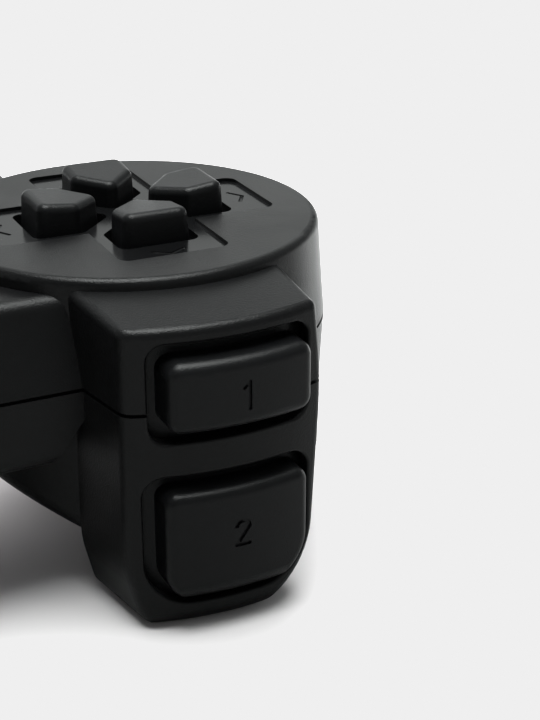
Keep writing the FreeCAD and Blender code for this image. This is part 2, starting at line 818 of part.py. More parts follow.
def stick_opening():
    """Round hole in a boss with a flared rim, at the left stick's place."""
    depth = BOSS_TOP - WINDOW_DEPTH
    return turned([
        (0, depth, 0),
        (STICK_HOLE_R, depth, 0),
        (STICK_HOLE_R, BOSS_TOP - STICK_HOLE_RIM, 0),
        (STICK_HOLE_R + 2 * STICK_HOLE_RIM, BOSS_TOP + STICK_HOLE_RIM, 0),
        (0, BOSS_TOP + STICK_HOLE_RIM, 0),
    ], -BOSS_X, BOSS_Y)


def mirrored(shape):
    return shape.mirror(V(0, 0, 0), V(1, 0, 0))


def gland_hole():
    return rod(GLAND_NECK_R, (0, CENTRE_FRONT_Y - WINDOW_DEPTH, SEAM_Z), (0, CENTRE_FRONT_Y + WALL, SEAM_Z))


def top_openings():
    """Everything cut through the top of the shells, except the shoulder windows."""
    cuts = []
    for piece in quarter_turns(plate(house(KEY_WINDOW_GAP), DRUM_TOP - WINDOW_DEPTH, DRUM_TOP + WALL)):
        cuts.append(on_left(piece))
    for piece in quarter_turns(arrow_mark()):
        cuts.append(on_left(piece))
    for piece in quarter_turns(face_hole(FACE_HOLE_GAP)):
        cuts.append(on_right(piece))
    cuts += [on_left(cross_recess()), on_right(cross_recess())]
    cuts += [stick_opening(), mirrored(stick_opening())]
    for x, y, size in small_buttons().values():
        cuts.append(pill(size, x, y, SLIDE_GAP, CENTRE_TOP - 2 * WALL, CENTRE_TOP + WALL))
    cuts.append(rod(LAMP_R + PIN_GAP, (0, LAMP_Y, CENTRE_TOP - 2 * WALL), (0, LAMP_Y, CENTRE_TOP + WALL)))
    cuts.append(gland_hole())
    return cuts


def near_window(p):
    """True on the edges that the shoulder windows leave in the front of a shoulder block."""
    x = WING_X - abs(p.x)
    if abs(math.hypot(x, p.y - WING_Y) - SHOULDER_R) > NEAR:
        return False
    windows = ((BUMPER_WINDOW_X, BUMPER_WINDOW_Z), (TRIGGER_WINDOW_X, TRIGGER_WINDOW_Z))
    return any(x0 - NEAR < x < x1 + NEAR and z0 - NEAR < p.z < z1 + NEAR for (x0, x1), (z0, z1) in windows)


def shells():
    outer = pad_form(0)
    hollow = pad_form(WALL)
    walls = outer.cut(hollow)
    windows = [bumper_window(), trigger_window()]
    walls = walls.cut([on_left(w) for w in windows] + [on_right(w) for w in windows])
    walls = rounded_edges(walls, WINDOW_FILLET, near_window)
    core = pad_form(WALL / 4)
    columns = screw_columns().common(core)
    posts = Part.makeCompound([
        rod(BOARD_COLUMN_R, (x, y, 0), (x, y, BOARD_Z)) for x, y in board_screw_places()
    ]).common(core)
    saddles = motor_saddles()
    ribs = Part.makeCompound([on_left(r) for r in saddles] + [on_right(r) for r in saddles]).common(core)
    seam = below_seam(0)
    slot = below_seam(SEAM_GROOVE / 2).cut(below_seam(-SEAM_GROOVE / 2)).cut(pad_form(SEAM_GROOVE_DEPTH))
    step = below_seam(TONGUE_HEIGHT).cut(seam).cut(hollow)
    tongue = step.common(pad_form(TONGUE_SETBACK))
    tongue = tongue.cut([on_left(w) for w in windows] + [on_right(w) for w in windows])
    rebate = step.common(pad_form(TONGUE_SETBACK - TONGUE_CLEARANCE))
    upper = walls.cut(seam).multiFuse([columns.cut(seam)])
    lower = walls.common(seam).cut(slot).multiFuse([tongue, columns.common(seam), posts, ribs])
    bores = screw_bores()
    upper = upper.cut([rebate, slot] + bores + top_openings())
    pilots = [
        rod(BOARD_SCREW_R + THREAD_GAP, (x, y, BOARD_Z - BOARD_SCREW_LENGTH), (x, y, BOARD_Z))
        for x, y in board_screw_places()
    ]
    lower = lower.cut(bores + pilots + [gland_hole()])
    return upper, lower


def stem(x, y, top):
    """Ribbed stem under a key or button, down to just above its dome."""
    foot = BOARD_Z + BOARD_THICK + DOME_RISE + TOUCH_GAP
    a = STEM_RIB_HALF
    b = STEM_RIB_THICK / 2
    return joined(
        rod(STEM_R, (x, y, foot), (x, y, top)),
        block(x - a, x + a, y - b, y + b, foot + STEM_RIB_HALF, top),
        block(x - b, x + b, y - a, y + a, foot + STEM_RIB_HALF, top),
    )


def direction_key():
    """One key in the cross's coordinates, with its head pointing at the middle from +X."""
    flange_top = DRUM_TOP - WALL - TOUCH_GAP
    top = DRUM_TOP + KEY_RISE
    fall = math.tan(math.radians(KEY_TOP_TILT))
    low = rounded_wire(house(0))
    low.translate(V(0, 0, flange_top))
    high = rounded_wire(house(-KEY_DRAFT))
    high.translate(V(0, 0, top + KEY_RISE))
    head = Part.makeLoft([low, high], True, True)
    above = front_plate([
        (-KEY_OUT, top - 2 * fall * KEY_OUT, 0),
        (2 * KEY_OUT, top + fall * KEY_OUT, 0),
        (2 * KEY_OUT, top + 3 * KEY_RISE, 0),
        (-KEY_OUT, top + 3 * KEY_RISE, 0),
    ], -KEY_OUT, KEY_OUT)
    head = head.cut(above)
    head = rounded_edges(head, KEY_EDGE, lambda p: abs(p.z - top - fall * (p.x - KEY_OUT)) < NEAR)
    flange = plate(house(KEY_FLANGE_GROW), flange_top - FLANGE_THICK, flange_top)
    return joined(head, flange, stem(KEY_STEM_OUT, 0, flange_top - FLANGE_THICK))


def face_button():
    """One round button in the cross's coordinates, out along +X."""
    flange_top = DRUM_TOP - WALL - TOUCH_GAP
    top = DRUM_TOP + FACE_RISE
    head = turned([
        (0, flange_top - FLANGE_THICK, 0),
        (FACE_R + FACE_FLANGE_GROW, flange_top - FLANGE_THICK, 0),
        (FACE_R + FACE_FLANGE_GROW, flange_top, 0),
        (FACE_R, flange_top, 0),
        (FACE_R, top, FACE_EDGE),
        (0, top, 0),
    ], FACE_OUT, 0)
    return joined(head, stem(FACE_OUT, 0, flange_top - FLANGE_THICK))


def small_button(x, y, size):
    flange_top = CENTRE_TOP - WALL - TOUCH_GAP
    top = CENTRE_TOP + SMALL_RISE
    head = pill(size, x, y, 0, flange_top, top)
    head = rounded_edges(head, SMALL_EDGE, lambda p: abs(p.z - top) < NEAR)
    flange = pill(size, x, y, FLANGE_THICK, flange_top - FLANGE_THICK, flange_top)
    return joined(head, flange, stem(x, y, flange_top - FLANGE_THICK))


def domed_mat(base, places):
    """A rubber mat on the main board with a hollow dome at each place."""
    z = BOARD_Z + BOARD_THICK
    domes = [Part.makeCone(DOME_BASE_R, DOME_TOP_R, DOME_RISE, V(x, y, z)) for x, y in places]
    hollows = [
        Part.makeCone(DOME_BASE_R - DOME_SKIN, DOME_TOP_R - DOME_SKIN, DOME_RISE - DOME_SKIN, V(x, y, z))
        for x, y in places
    ]
    return joined(base, *domes).cut(hollows)


def drum_mat(radius, out):
    z = BOARD_Z + BOARD_THICK
    base = rod(radius, (0, CROSS_Y, z), (0, CROSS_Y, z + MAT_THICK))
    places = [(out, CROSS_Y), (-out, CROSS_Y), (0, CROSS_Y + out), (0, CROSS_Y - out)]
    return domed_mat(base, places)


def centre_mat():
    z = BOARD_Z + BOARD_THICK
    half, rim, wide = MAT_CENTRE
    base = joined(
        block(-half, half, SELECT_Y - rim, SELECT_Y + rim, z, z + MAT_THICK),
        block(-wide, wide, MODE_Y - wide, SELECT_Y, z, z + MAT_THICK),
    )
    base = base.cut(rod(2 * LAMP_R, (0, LAMP_Y, z), (0, LAMP_Y, z + MAT_THICK)))
    return domed_mat(base, [(x, y) for x, y, size in small_buttons().values()])


def main_board():
    z0 = BOARD_Z
    z1 = BOARD_Z + BOARD_THICK
    half, back, front = BOARD_CENTRE
    drum = rod(BOARD_DRUM_R, (0, 0, z0), (0, 0, z1))
    drum = drum.cut(block(-WING_X, WING_X, BOARD_DRUM_FRONT_Y, WING_X, z0, z1))
    x = WING_X - BOSS_X
    y = BOSS_Y - WING_Y
    wing = joined(drum, rod(BOARD_BOSS_R, (x, y, z0), (x, y, z1)))
    board = joined(block(-half, half, back, front, z0, z1), on_left(wing), on_right(wing))
    holes = [rod(COLUMN_R + COLUMN_GAP, (x, y, z0), (x, y, z1)) for x, y in screw_places()]
    holes += [rod(BOARD_SCREW_R + PIN_GAP, (x, y, z0), (x, y, z1)) for x, y in board_screw_places()]
    return board.cut(holes)


def board_screws():
    seat = BOARD_Z + BOARD_THICK
    end = BOARD_Z - BOARD_SCREW_LENGTH + SLIDE_GAP
    return Part.makeCompound([
        screw(x, y, seat, BOARD_SCREW_R, BOARD_SCREW_HEAD_R, BOARD_SCREW_HEAD_THICK, end)
        for x, y in board_screw_places()
    ])


def chip(size, x, y):
    a, b, height = size
    z = BOARD_Z + BOARD_THICK
    return block(x - a / 2, x + a / 2, y - b / 2, y + b / 2, z, z + height)


def board_parts():
    """Lamp, crystal and lead connector soldered on the main board."""
    lamp = chip((LAMP_CHIP, LAMP_CHIP, LAMP_CHIP / 2), 0, LAMP_Y)
    crystal = rounded_edges(chip(CRYSTAL_SIZE, CRYSTAL_X, CONTROLLER_Y), CRYSTAL_SIZE[0] / 4, lambda p: True)
    connector = chip(CONNECTOR_SIZE, CONNECTOR_X, CONNECTOR_Y)
    mouth = chip(CONNECTOR_MOUTH, CONNECTOR_X, CONNECTOR_Y)
    mouth.translate(V(0, 0, CONNECTOR_FLOOR))
    return Part.makeCompound([lamp, crystal, connector.cut(mouth)])


def lamp_pipe():
    """Clear rod that carries the lamp's light up to the top of the centre block."""
    ceiling = CENTRE_TOP - WALL
    foot = BOARD_Z + BOARD_THICK + LAMP_CHIP / 2 + TOUCH_GAP
    collar = rod(2 * LAMP_R, (0, LAMP_Y, ceiling - LAMP_R), (0, LAMP_Y, ceiling))
    return joined(rod(LAMP_R, (0, LAMP_Y, foot), (0, LAMP_Y, CENTRE_TOP)), collar)


def stroke(start, end, width):
    """One straight stroke of a numeral in X and Z, with round ends, deep in Y."""
    low = SHOULDER_R - WALL
    high = SHOULDER_R + WINDOW_DEPTH
    along = V(end[0] - start[0], 0, end[1] - start[1])
    bar = block(0, along.Length, low, high, -width, width)
    bar.rotate(V(0, 0, 0), V(0, -1, 0), math.degrees(math.atan2(along.z, along.x)))
    bar.translate(V(start[0], 0, start[1]))
    ends = [rod(width, (x, low, z), (x, high, z)) for x, z in (start, end)]
    return joined(bar, *ends)


def numeral_one():
    h = ONE_HEIGHT / 2
    across, fall = ONE_FLAG
    return joined(stroke((0, -h), (0, h), ONE_LINE_R), stroke((0, h), (-across, h - fall), ONE_LINE_R))


def numeral_two():
    h = TWO_HEIGHT / 2
    r = TWO_ARCH_R
    width = TWO_LINE_R
    low = SHOULDER_R - WALL
    high = SHOULDER_R + WINDOW_DEPTH
    centre = h - r
    ring = tube(r + width, r - width, (0, low, centre), (0, high, centre))
    arch = ring.cut(block(-h, h, low, high, centre - h, centre))
    return joined(arch, stroke((r, centre), (-r, -h), width), stroke((-r, -h), (r, -h), width))


def engraved(face_r, numeral, place, hand):
    """The part of a numeral that is cut into a curved face; hand is 1 on the left wing, -1 on the right."""
    mark = numeral.copy()
    if hand > 0:
        mark = mirrored(mark)
    mark.translate(V(place[0], 0, place[1]))
    return mark.cut(rod(face_r - NUMERAL_DEPTH, (0, 0, 0), (0, 0, DRUM_TOP)))


def shoulder_head(outline, face_r):
    """Face and body of a shoulder button, from its flange out to its curved face."""
    slab = front_plate(outline, SHOULDER_R - 2 * WINDOW_DEPTH, face_r + WALL)
    head = slab.common(rod(face_r, (0, 0, 0), (0, 0, DRUM_TOP)))
    return head.cut(rod(flange_inner_r(), (0, 0, 0), (0, 0, DRUM_TOP)))


def flange_inner_r():
    return SHOULDER_R - WALL - TOUCH_GAP - SHOULDER_FLANGE_THICK


def shoulder_flange(z_range, gap):
    """Curved plate behind a window, clear of the leg's inside by the gap."""
    x0, x1 = SHOULDER_FLANGE_X
    z0, z1 = z_range
    slab = block(x0, x1, SHOULDER_R - 2 * WINDOW_DEPTH, SHOULDER_R, z0, z1)
    slab = slab.common(rod(SHOULDER_R - WALL - TOUCH_GAP, (0, 0, 0), (0, 0, DRUM_TOP)))
    slab = slab.cut(rod(flange_inner_r(), (0, 0, 0), (0, 0, DRUM_TOP)))
    return slab.common(outer_side(WALL + gap, x1, SHOULDER_FLANGE_CORNER - gap))


def plunger(z):
    tip = shoulder_dome_tip() + TOUCH_GAP
    return rod(PLUNGER_R, (0, tip, z), (0, SHOULDER_R - WALL, z))


def shoulder_dome_tip():
    return BRACKET_Y + BRACKET_THICK + SHOULDER_BOARD_THICK + SHOULDER_DOME_RISE


def bumper(hand):
    """Upper shoulder button in the left wing's coordinates."""
    outline = upright_outline(BUMPER_X, BUMPER_Z, (BUMPER_CORNER, BUMPER_CORNER), BUMPER_CORNER)
    head = shoulder_head(outline, BUMPER_FACE_R)
    head = rounded_edges(head, BUMPER_EDGE, lambda p: math.hypot(p.x, p.y) > BUMPER_FACE_R - NEAR)
    mark = engraved(BUMPER_FACE_R, numeral_one(), BUMPER_NUMERAL, hand)
    flange = shoulder_flange(BUMPER_FLANGE_Z, BUMPER_FLANGE_GAP)
    return joined(head.cut(mark), flange, plunger(BUMPER_DOME_Z))


def trigger(hand):
    """Lower shoulder button in the left wing's coordinates, with its hinge barrel at the top."""
    outline = upright_outline(TRIGGER_X, TRIGGER_Z, TRIGGER_LOW_CORNERS, TRIGGER_CORNER)
    head = shoulder_head(outline, TRIGGER_FACE_R)
    head = rounded_edges(head, TRIGGER_EDGE, lambda p: math.hypot(p.x, p.y) > TRIGGER_FACE_R - NEAR)
    low = TRIGGER_Z[0] - SHOULDER_TOE_STANDOFF
    reach = TRIGGER_FACE_R + SHOULDER_TOE_STANDOFF
    toe = turned([
        (0, low, 0),
        (reach, low, TRIGGER_TOE_R),
        (reach, DRUM_TOP, 0),
        (0, DRUM_TOP, 0),
    ])
    head = head.common(toe)
    mark = engraved(TRIGGER_FACE_R, numeral_two(), TRIGGER_NUMERAL, hand)
    a = TRIGGER_BARREL_HALF
    y = TRIGGER_AXIS_Y
    z = TRIGGER_AXIS_Z
    barrel = rod(TRIGGER_BARREL_R, (-a, y, z), (a, y, z))
    flange = shoulder_flange(TRIGGER_FLANGE_Z, TRIGGER_FLANGE_GAP)
    web = block(-a, a, y, SHOULDER_R - WALL, z - TRIGGER_PIN_R, z + TRIGGER_PIN_R / 2)
    web = web.common(rod(SHOULDER_R - WALL - TOUCH_GAP, (0, 0, 0), (0, 0, DRUM_TOP)))
    bore = rod(TRIGGER_PIN_R + PIN_GAP, (-a, y, z), (a, y, z))
    return joined(head.cut(mark), flange, web, barrel, plunger(TRIGGER_DOME_Z)).cut(bore)


def trigger_pin():
    reach = EAR_X + EAR_THICK
    y = TRIGGER_AXIS_Y
    z = TRIGGER_AXIS_Z
    return rod(TRIGGER_PIN_R, (-reach, y, z), (reach, y, z))


def shoulder_bracket():
    """Upright plate on the floor of the leg, with a shelf that carries the trigger's two ears."""
    a = BRACKET_HALF
    front = BRACKET_Y + BRACKET_THICK
    back = front_plate([
        (-a, WALL, 0),
        (a, WALL, BRACKET_FOOT_CORNER),
        (a, BRACKET_TOP, 0),
        (-a, BRACKET_TOP, 0),
    ], BRACKET_Y, front)
    z0, z1 = SHELF_Z
    y0, y1 = SHELF_Y
    arms = [block(-a, -SHELF_ARM_X, front, y0, z0, z1), block(SHELF_ARM_X, a, front, y0, z0, z1)]
    shelf = block(-a, a, y0, y1, z0, z1)
    shelf = shelf.common(rod(flange_inner_r() - TOUCH_GAP, (0, 0, 0), (0, 0, DRUM_TOP)))
    y = TRIGGER_AXIS_Y
    z = TRIGGER_AXIS_Z
    ears = []
    for x0 in (-EAR_X - EAR_THICK, EAR_X):
        x1 = x0 + EAR_THICK
        ears.append(block(x0, x1, y - EAR_R, y + EAR_R, z, z0))
        ears.append(rod(EAR_R, (x0, y, z), (x1, y, z)))
    reach = EAR_X + EAR_THICK
    bore = rod(TRIGGER_PIN_R + THREAD_GAP, (-reach, y, z), (reach, y, z))
    half = RIBBON_HALF + TOUCH_GAP
    ribbon_z = BOARD_Z + BOARD_THICK
    slot = block(-half, half, BRACKET_Y, front, ribbon_z - TOUCH_GAP, ribbon_z + RIBBON_THICK + TOUCH_GAP)
    whole = joined(back, shelf, *arms, *ears).cut([bore, slot])
    return whole.common(shoulder_form(WALL + BRACKET_FIT))


def shoulder_board():
    y0 = BRACKET_Y + BRACKET_THICK
    z0, z1 = SHOULDER_BOARD_Z
    a = SHOULDER_BOARD_HALF
    r = SHOULDER_BOARD_CORNER
    return front_plate([(-a, z0, r), (a, z0, r), (a, z1, r), (-a, z1, r)], y0, y0 + SHOULDER_BOARD_THICK)


def shoulder_mat():
    """Rubber mat on the shoulder board, with one dome behind each shoulder button."""
    y0 = BRACKET_Y + BRACKET_THICK + SHOULDER_BOARD_THICK
    z0, z1 = SHOULDER_BOARD_Z
    a = DOME_BASE_R + SHOULDER_BOARD_CORNER
    r = SHOULDER_BOARD_CORNER
    base = front_plate([(-a, z0, r), (a, z0, r), (a, z1, r), (-a, z1, r)], y0, y0 + SHOULDER_PAD_THICK)
    out = V(0, 1, 0)
    domes = []
    hollows = []
    for z in (BUMPER_DOME_Z, TRIGGER_DOME_Z):
        foot = V(0, y0, z)
        domes.append(Part.makeCone(DOME_BASE_R, DOME_TOP_R, SHOULDER_DOME_RISE, foot, out))
        inner = SHOULDER_DOME_RISE - DOME_SKIN
        hollows.append(Part.makeCone(DOME_BASE_R - DOME_SKIN, DOME_TOP_R - DOME_SKIN, inner, foot, out))
    return joined(base, *domes).cut(hollows)


def shoulder_ribbon():
    """Flat flexible strip that joins the shoulder board to the main board."""
    z = BOARD_Z + BOARD_THICK
    y0 = BOARD_DRUM_FRONT_Y - RIBBON_LAP
    return block(-RIBBON_HALF, RIBBON_HALF, y0, BRACKET_Y + BRACKET_THICK, z, z + RIBBON_THICK)


def rumble_motor():
    y0, y1 = MOTOR_Y
    can = rod(MOTOR_R, (MOTOR_X, y0, MOTOR_Z), (MOTOR_X, y1, MOTOR_Z))
    can = rounded_edges(can, MOTOR_NOSE, lambda p: True)
    nose = rod(MOTOR_NOSE_R, (MOTOR_X, y0 - MOTOR_NOSE, MOTOR_Z), (MOTOR_X, y0, MOTOR_Z))
    back = rod(MOTOR_BACK_R, (MOTOR_X, y1, MOTOR_Z), (MOTOR_X, y1 + MOTOR_NOSE, MOTOR_Z))
    bore_end = y0 - MOTOR_NOSE + MOTOR_SHAFT_IN + TOUCH_GAP
    bore = rod(MOTOR_SHAFT_R + PIN_GAP, (MOTOR_X, y0 - MOTOR_NOSE, MOTOR_Z), (MOTOR_X, bore_end, MOTOR_Z))
    return joined(can, nose, back).cut(bore)


def rumble_weight():
    """Half-round weight on the shaft that turns in the motor."""
    x = MOTOR_X
    z = MOTOR_Z
    face = MOTOR_Y[0] - MOTOR_NOSE - WEIGHT_GAP
    far = face - WEIGHT_THICK
    disc = rod(WEIGHT_R, (x, far, z), (x, face, z))
    half = disc.common(block(x - WEIGHT_R, x + WEIGHT_R, far, face, z - WEIGHT_R, z))
    hub = rod(WEIGHT_HUB_R, (x, far, z), (x, face, z))
    shaft = rod(MOTOR_SHAFT_R, (x, far, z), (x, MOTOR_Y[0] - MOTOR_NOSE + MOTOR_SHAFT_IN, z))
    return joined(half, hub, shaft)


def at_stick(shape):
    """Moves a piece from the stick's own coordinates, with its pivot at their zero, to the left stick."""
    moved = shape.copy()
    moved.translate(V(-BOSS_X, BOSS_Y, PIVOT_Z))
    return moved


def stick_frame():
    a = FRAME_HALF
    low = BOARD_Z + BOARD_THICK - PIVOT_Z
    high = FRAME_TOP - PIVOT_Z
    inner = a - FRAME_WALL
    box = block(-a, a, -a, a, low, high).cut(block(-inner, inner, -inner, inner, low, high - FRAME_WALL))
    mouth = block(-FRAME_OPENING, FRAME_OPENING, -FRAME_OPENING, FRAME_OPENING, low, high)
    bores = [rod(AXLE_R + PIN_GAP, (-a, 0, 0), (a, 0, 0)), rod(AXLE_R + PIN_GAP, (0, -a, 0), (0, a, 0))]
    return box.cut([mouth] + bores)


def stick_gimbal():
    """Ring that turns about X in the frame and carries the pivot block's trunnions."""
    a, b, t = GIMBAL_X, GIMBAL_Y, GIMBAL_HALF_THICK
    hole_x, hole_y = GIMBAL_HOLE
    ring = block(-a, a, -b, b, -t, t).cut(block(-hole_x, hole_x, -hole_y, hole_y, -t, t))
    ring = ring.cut(rod(TRUNNION_R + PIN_GAP, (0, -b, 0), (0, b, 0)))
    axles = [rod(AXLE_R, (side * a, 0, 0), (side * AXLE_REACH, 0, 0)) for side in (1, -1)]
    return joined(ring, *axles)


def stick_pivot():
    a, b = PIVOT_BLOCK
    t = PIVOT_BLOCK_HALF_THICK
    reach = GIMBAL_Y - PIN_GAP
    body = joined(block(-a, a, -b, b, -t, t), rod(TRUNNION_R, (0, -reach, 0), (0, reach, 0)))
    return body.cut(rod(SHAFT_R + PIN_GAP, (0, 0, -t), (0, 0, t)))


def stick_bail():
    """Slotted arch that turns about Y and follows the shaft's tilt to the side."""
    w = BAIL_HALF_WIDTH
    y0, y1 = BAIL_Y
    low, under, top = BAIL_Z
    arch = block(-w, w, -y1, y1, low, top).cut(block(-w, w, -y0, y0, low, under))
    arch = arch.cut(block(-BAIL_SLOT[0], BAIL_SLOT[0], -BAIL_SLOT[1], BAIL_SLOT[1], under, top))
    axles = [rod(AXLE_R, (0, side * y1, 0), (0, side * AXLE_REACH, 0)) for side in (1, -1)]
    return joined(arch, *axles)


def stick_sensors():
    """Two rotary sensors on the frame's sides, one at the end of each axle."""
    a = FRAME_HALF
    b = SENSOR_HALF
    low = BOARD_Z + BOARD_THICK - PIVOT_Z
    high = SENSOR_TOP - PIVOT_Z
    body = block(a, a + SENSOR_THICK, -b, b, low, high)
    neck = block(a, a + SENSOR_THICK, -SENSOR_HEAD_R, SENSOR_HEAD_R, high, 0)
    head = rod(SENSOR_HEAD_R, (a, 0, 0), (a + SENSOR_THICK, 0, 0))
    side = joined(body, neck, head).cut(rod(AXLE_R + PIN_GAP, (a, 0, 0), (AXLE_REACH + TOUCH_GAP, 0, 0)))
    rear = side.copy()
    rear.rotate(V(0, 0, 0), V(0, 0, 1), -90)
    return Part.makeCompound([side, rear])


def stick_switch():
    low = BOARD_Z + BOARD_THICK
    s = SWITCH_HALF
    body = block(-s, s, -s, s, low - PIVOT_Z, SWITCH_TOP - PIVOT_Z)
    button_top = SHAFT_NUB_BOTTOM - STICK_PRESS - TOUCH_GAP
    return joined(body, rod(SWITCH_BUTTON_R, (0, 0, SWITCH_TOP - PIVOT_Z), (0, 0, button_top - PIVOT_Z)))


def stick_spring():
    """Sleeve as wide as the centring spring's coils, between the board and the foot of the shaft."""
    low = BOARD_Z + BOARD_THICK - PIVOT_Z
    high = SHAFT_BOTTOM - PIVOT_Z
    return tube(SPRING_R + SPRING_WIRE_R, SPRING_R - SPRING_WIRE_R, (0, 0, low), (0, 0, high))


def stick_shaft():
    low = SHAFT_BOTTOM - PIVOT_Z
    high = SHAFT_TOP - PIVOT_Z
    foot = rod(SHAFT_FOOT_R, (0, 0, low), (0, 0, low + SHAFT_FOOT_THICK))
    nub = rod(SHAFT_NUB_R, (0, 0, SHAFT_NUB_BOTTOM - PIVOT_Z), (0, 0, low))
    return joined(rod(SHAFT_R, (0, 0, low), (0, 0, high)), foot, nub)


def stick_cap():
    """Thumb cap, neck and the dome that closes the hole in the boss, in one moulding."""
    high = CAP_TOP - PIVOT_Z
    under = high - CAP_THICK
    sag = (CAP_R * CAP_R + CAP_CROWN * CAP_CROWN) / (2 * CAP_CROWN)
    disc = turned([(0, under, 0), (CAP_R, under, 0), (CAP_R, high, 0), (0, high, 0)])
    disc = disc.common(Part.makeSphere(sag, V(0, 0, high - sag)))
    disc = rounded_edges(disc, CAP_EDGE, lambda p: math.hypot(p.x, p.y) > CAP_R - NEAR)
    neck = rod(CAP_NECK_R, (0, 0, DOME_R - CAP_DOME_SKIN), (0, 0, under))
    low = DOME_R * math.cos(math.radians(CAP_DOME_ANGLE))
    dome = Part.makeSphere(DOME_R).cut(Part.makeSphere(DOME_R - CAP_DOME_SKIN))
    dome = dome.cut(block(-2 * DOME_R, 2 * DOME_R, -2 * DOME_R, 2 * DOME_R, -2 * DOME_R, low))
    neck = neck.cut(Part.makeSphere(DOME_R - CAP_DOME_SKIN))
    return joined(disc, neck, dome).cut(rod(SHAFT_R, (0, 0, 0), (0, 0, SHAFT_TOP - PIVOT_Z)))


def cord_gland():
    """Rubber gland that fills its hole in the front wall, with the lead's bore along Y."""
    back = CENTRE_FRONT_Y - WALL - GLAND_FLANGE_THICK
    front = CENTRE_FRONT_Y + GLAND_LIP
    z = SEAM_Z
    flange = rod(GLAND_FLANGE_R, (0, back, z), (0, CENTRE_FRONT_Y, z)).common(centre_form(WALL))
    lip = rod(GLAND_LIP_R, (0, CENTRE_FRONT_Y - WALL, z), (0, front, z)).cut(centre_form(0))
    neck = rod(GLAND_NECK_R, (0, back, z), (0, front, z))
    return joined(neck, flange, lip).cut(rod(GLAND_BORE_R, (0, back, z), (0, front, z)))


def both_sides(nodes, name, shape, right_shape=None):
    """Adds a wing's piece to the nodes, and the same piece mirrored to the right wing."""
    nodes["left_" + name] = on_left(shape)
    nodes["right_" + name] = on_right(right_shape or shape)


def all_nodes():
    nodes = {}
    nodes["upper_shell"], nodes["lower_shell"] = shells()
    for name, key in zip(("right", "up", "left", "down"), quarter_turns(direction_key())):
        nodes["direction_key_" + name] = on_left(key)
    for number, button in enumerate(quarter_turns(face_button()), 1):
        nodes["face_button_%d" % number] = on_right(button)
    for name, (x, y, size) in small_buttons().items():
        nodes[name] = small_button(x, y, size)
    nodes["lamp_pipe"] = lamp_pipe()
    nodes["direction_mat"] = on_left(drum_mat(MAT_CROSS_R, KEY_STEM_OUT))
    nodes["face_mat"] = on_right(drum_mat(MAT_FACE_R, FACE_OUT))
    nodes["centre_mat"] = centre_mat()
    nodes["main_board"] = main_board()
    nodes["controller_chip"] = chip(CONTROLLER_SIZE, 0, CONTROLLER_Y)
    nodes["board_parts"] = board_parts()
    both_sides(nodes, "bumper", bumper(1), bumper(-1))
    both_sides(nodes, "trigger", trigger(1), trigger(-1))
    both_sides(nodes, "trigger_pin", trigger_pin())
    both_sides(nodes, "shoulder_bracket", shoulder_bracket())
    both_sides(nodes, "shoulder_board", shoulder_board())
    both_sides(nodes, "shoulder_mat", shoulder_mat())
    both_sides(nodes, "shoulder_ribbon", shoulder_ribbon())
    both_sides(nodes, "rumble_motor", rumble_motor())
    both_sides(nodes, "rumble_weight", rumble_weight())
    stick = {
        "stick_frame": stick_frame(),
        "stick_gimbal": stick_gimbal(),
        "stick_pivot": stick_pivot(),
        "stick_bail": stick_bail(),
        "stick_sensors": stick_sensors(),
        "stick_switch": stick_switch(),
        "stick_spring": stick_spring(),
        "stick_shaft": stick_shaft(),
        "stick_cap": stick_cap(),
    }
    for name, shape in stick.items():
        nodes["left_" + name] = at_stick(shape)
        nodes["right_" + name] = mirrored(at_stick(shape))
    nodes["shell_screws"] = shell_screws()
    nodes["board_screws"] = board_screws()
    nodes["cord_gland"] = cord_gland()
    return nodes


for node, shape in all_nodes().items():
    whole = shape.Solids[0] if len(shape.Solids) == 1 else shape
    whole.exportStep("parts/%s.step" % node)
    print(node, len(shape.Solids), round(shape.Volume, 1), shape.isValid())
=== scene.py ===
import math

import bmesh
import bpy
from mathutils import Matrix, Vector


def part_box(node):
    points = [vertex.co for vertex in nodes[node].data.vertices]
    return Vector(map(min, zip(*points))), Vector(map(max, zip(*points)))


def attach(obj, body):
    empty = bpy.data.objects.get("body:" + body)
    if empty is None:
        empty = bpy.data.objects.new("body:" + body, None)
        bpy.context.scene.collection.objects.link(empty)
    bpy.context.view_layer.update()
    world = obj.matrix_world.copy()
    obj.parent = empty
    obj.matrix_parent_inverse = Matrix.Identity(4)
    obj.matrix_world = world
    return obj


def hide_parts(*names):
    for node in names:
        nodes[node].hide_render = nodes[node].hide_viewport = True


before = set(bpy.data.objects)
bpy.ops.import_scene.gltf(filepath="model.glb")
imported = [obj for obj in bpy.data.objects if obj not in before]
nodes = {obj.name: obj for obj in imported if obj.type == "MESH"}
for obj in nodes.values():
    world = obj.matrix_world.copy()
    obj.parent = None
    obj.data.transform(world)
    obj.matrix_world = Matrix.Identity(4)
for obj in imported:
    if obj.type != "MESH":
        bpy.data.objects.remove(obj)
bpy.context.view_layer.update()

# The lower shell is one injection moulding in black ABS: the grips, the legs and the drums' lower halves.
# Its mould was spark eroded, which leaves a fine even grain that glitters on every rounded edge.
# Handling leaves faint smears on it, and a little white dust settles on the faces that look up.
MM = 0.001
SHELL_CLEAN = (0.0042, 0.0043, 0.0046)
SHELL_SMEARED = (0.0052, 0.0053, 0.0056)
GRAINS_PER_METRE = 3600.0
GRAIN_DEPTH = 0.042 * MM
PIT_DETAIL = 2.0
PIT_ROUGHNESS = 0.65
CRUMBS_PER_GRAIN = 1.7
CRUMB_HEIGHT = 0.35
SHELL_GLOSS = (0.30, 0.40)
PLASTIC_SPECULAR = 0.2
CLOUDS_PER_METRE = 45.0
CLOUD_DETAIL = 5.0
CLOUD_BEND = 0.6
CLOUD_LEVELS = (0.35, 0.7)
DUST_COLOUR = (0.42, 0.41, 0.39)
DUST_SHARE = 0.05
SPECKS_PER_METRE = 420.0
SPECK_SIZE = 0.055
SPECK_LOOKS_UP = 0.2


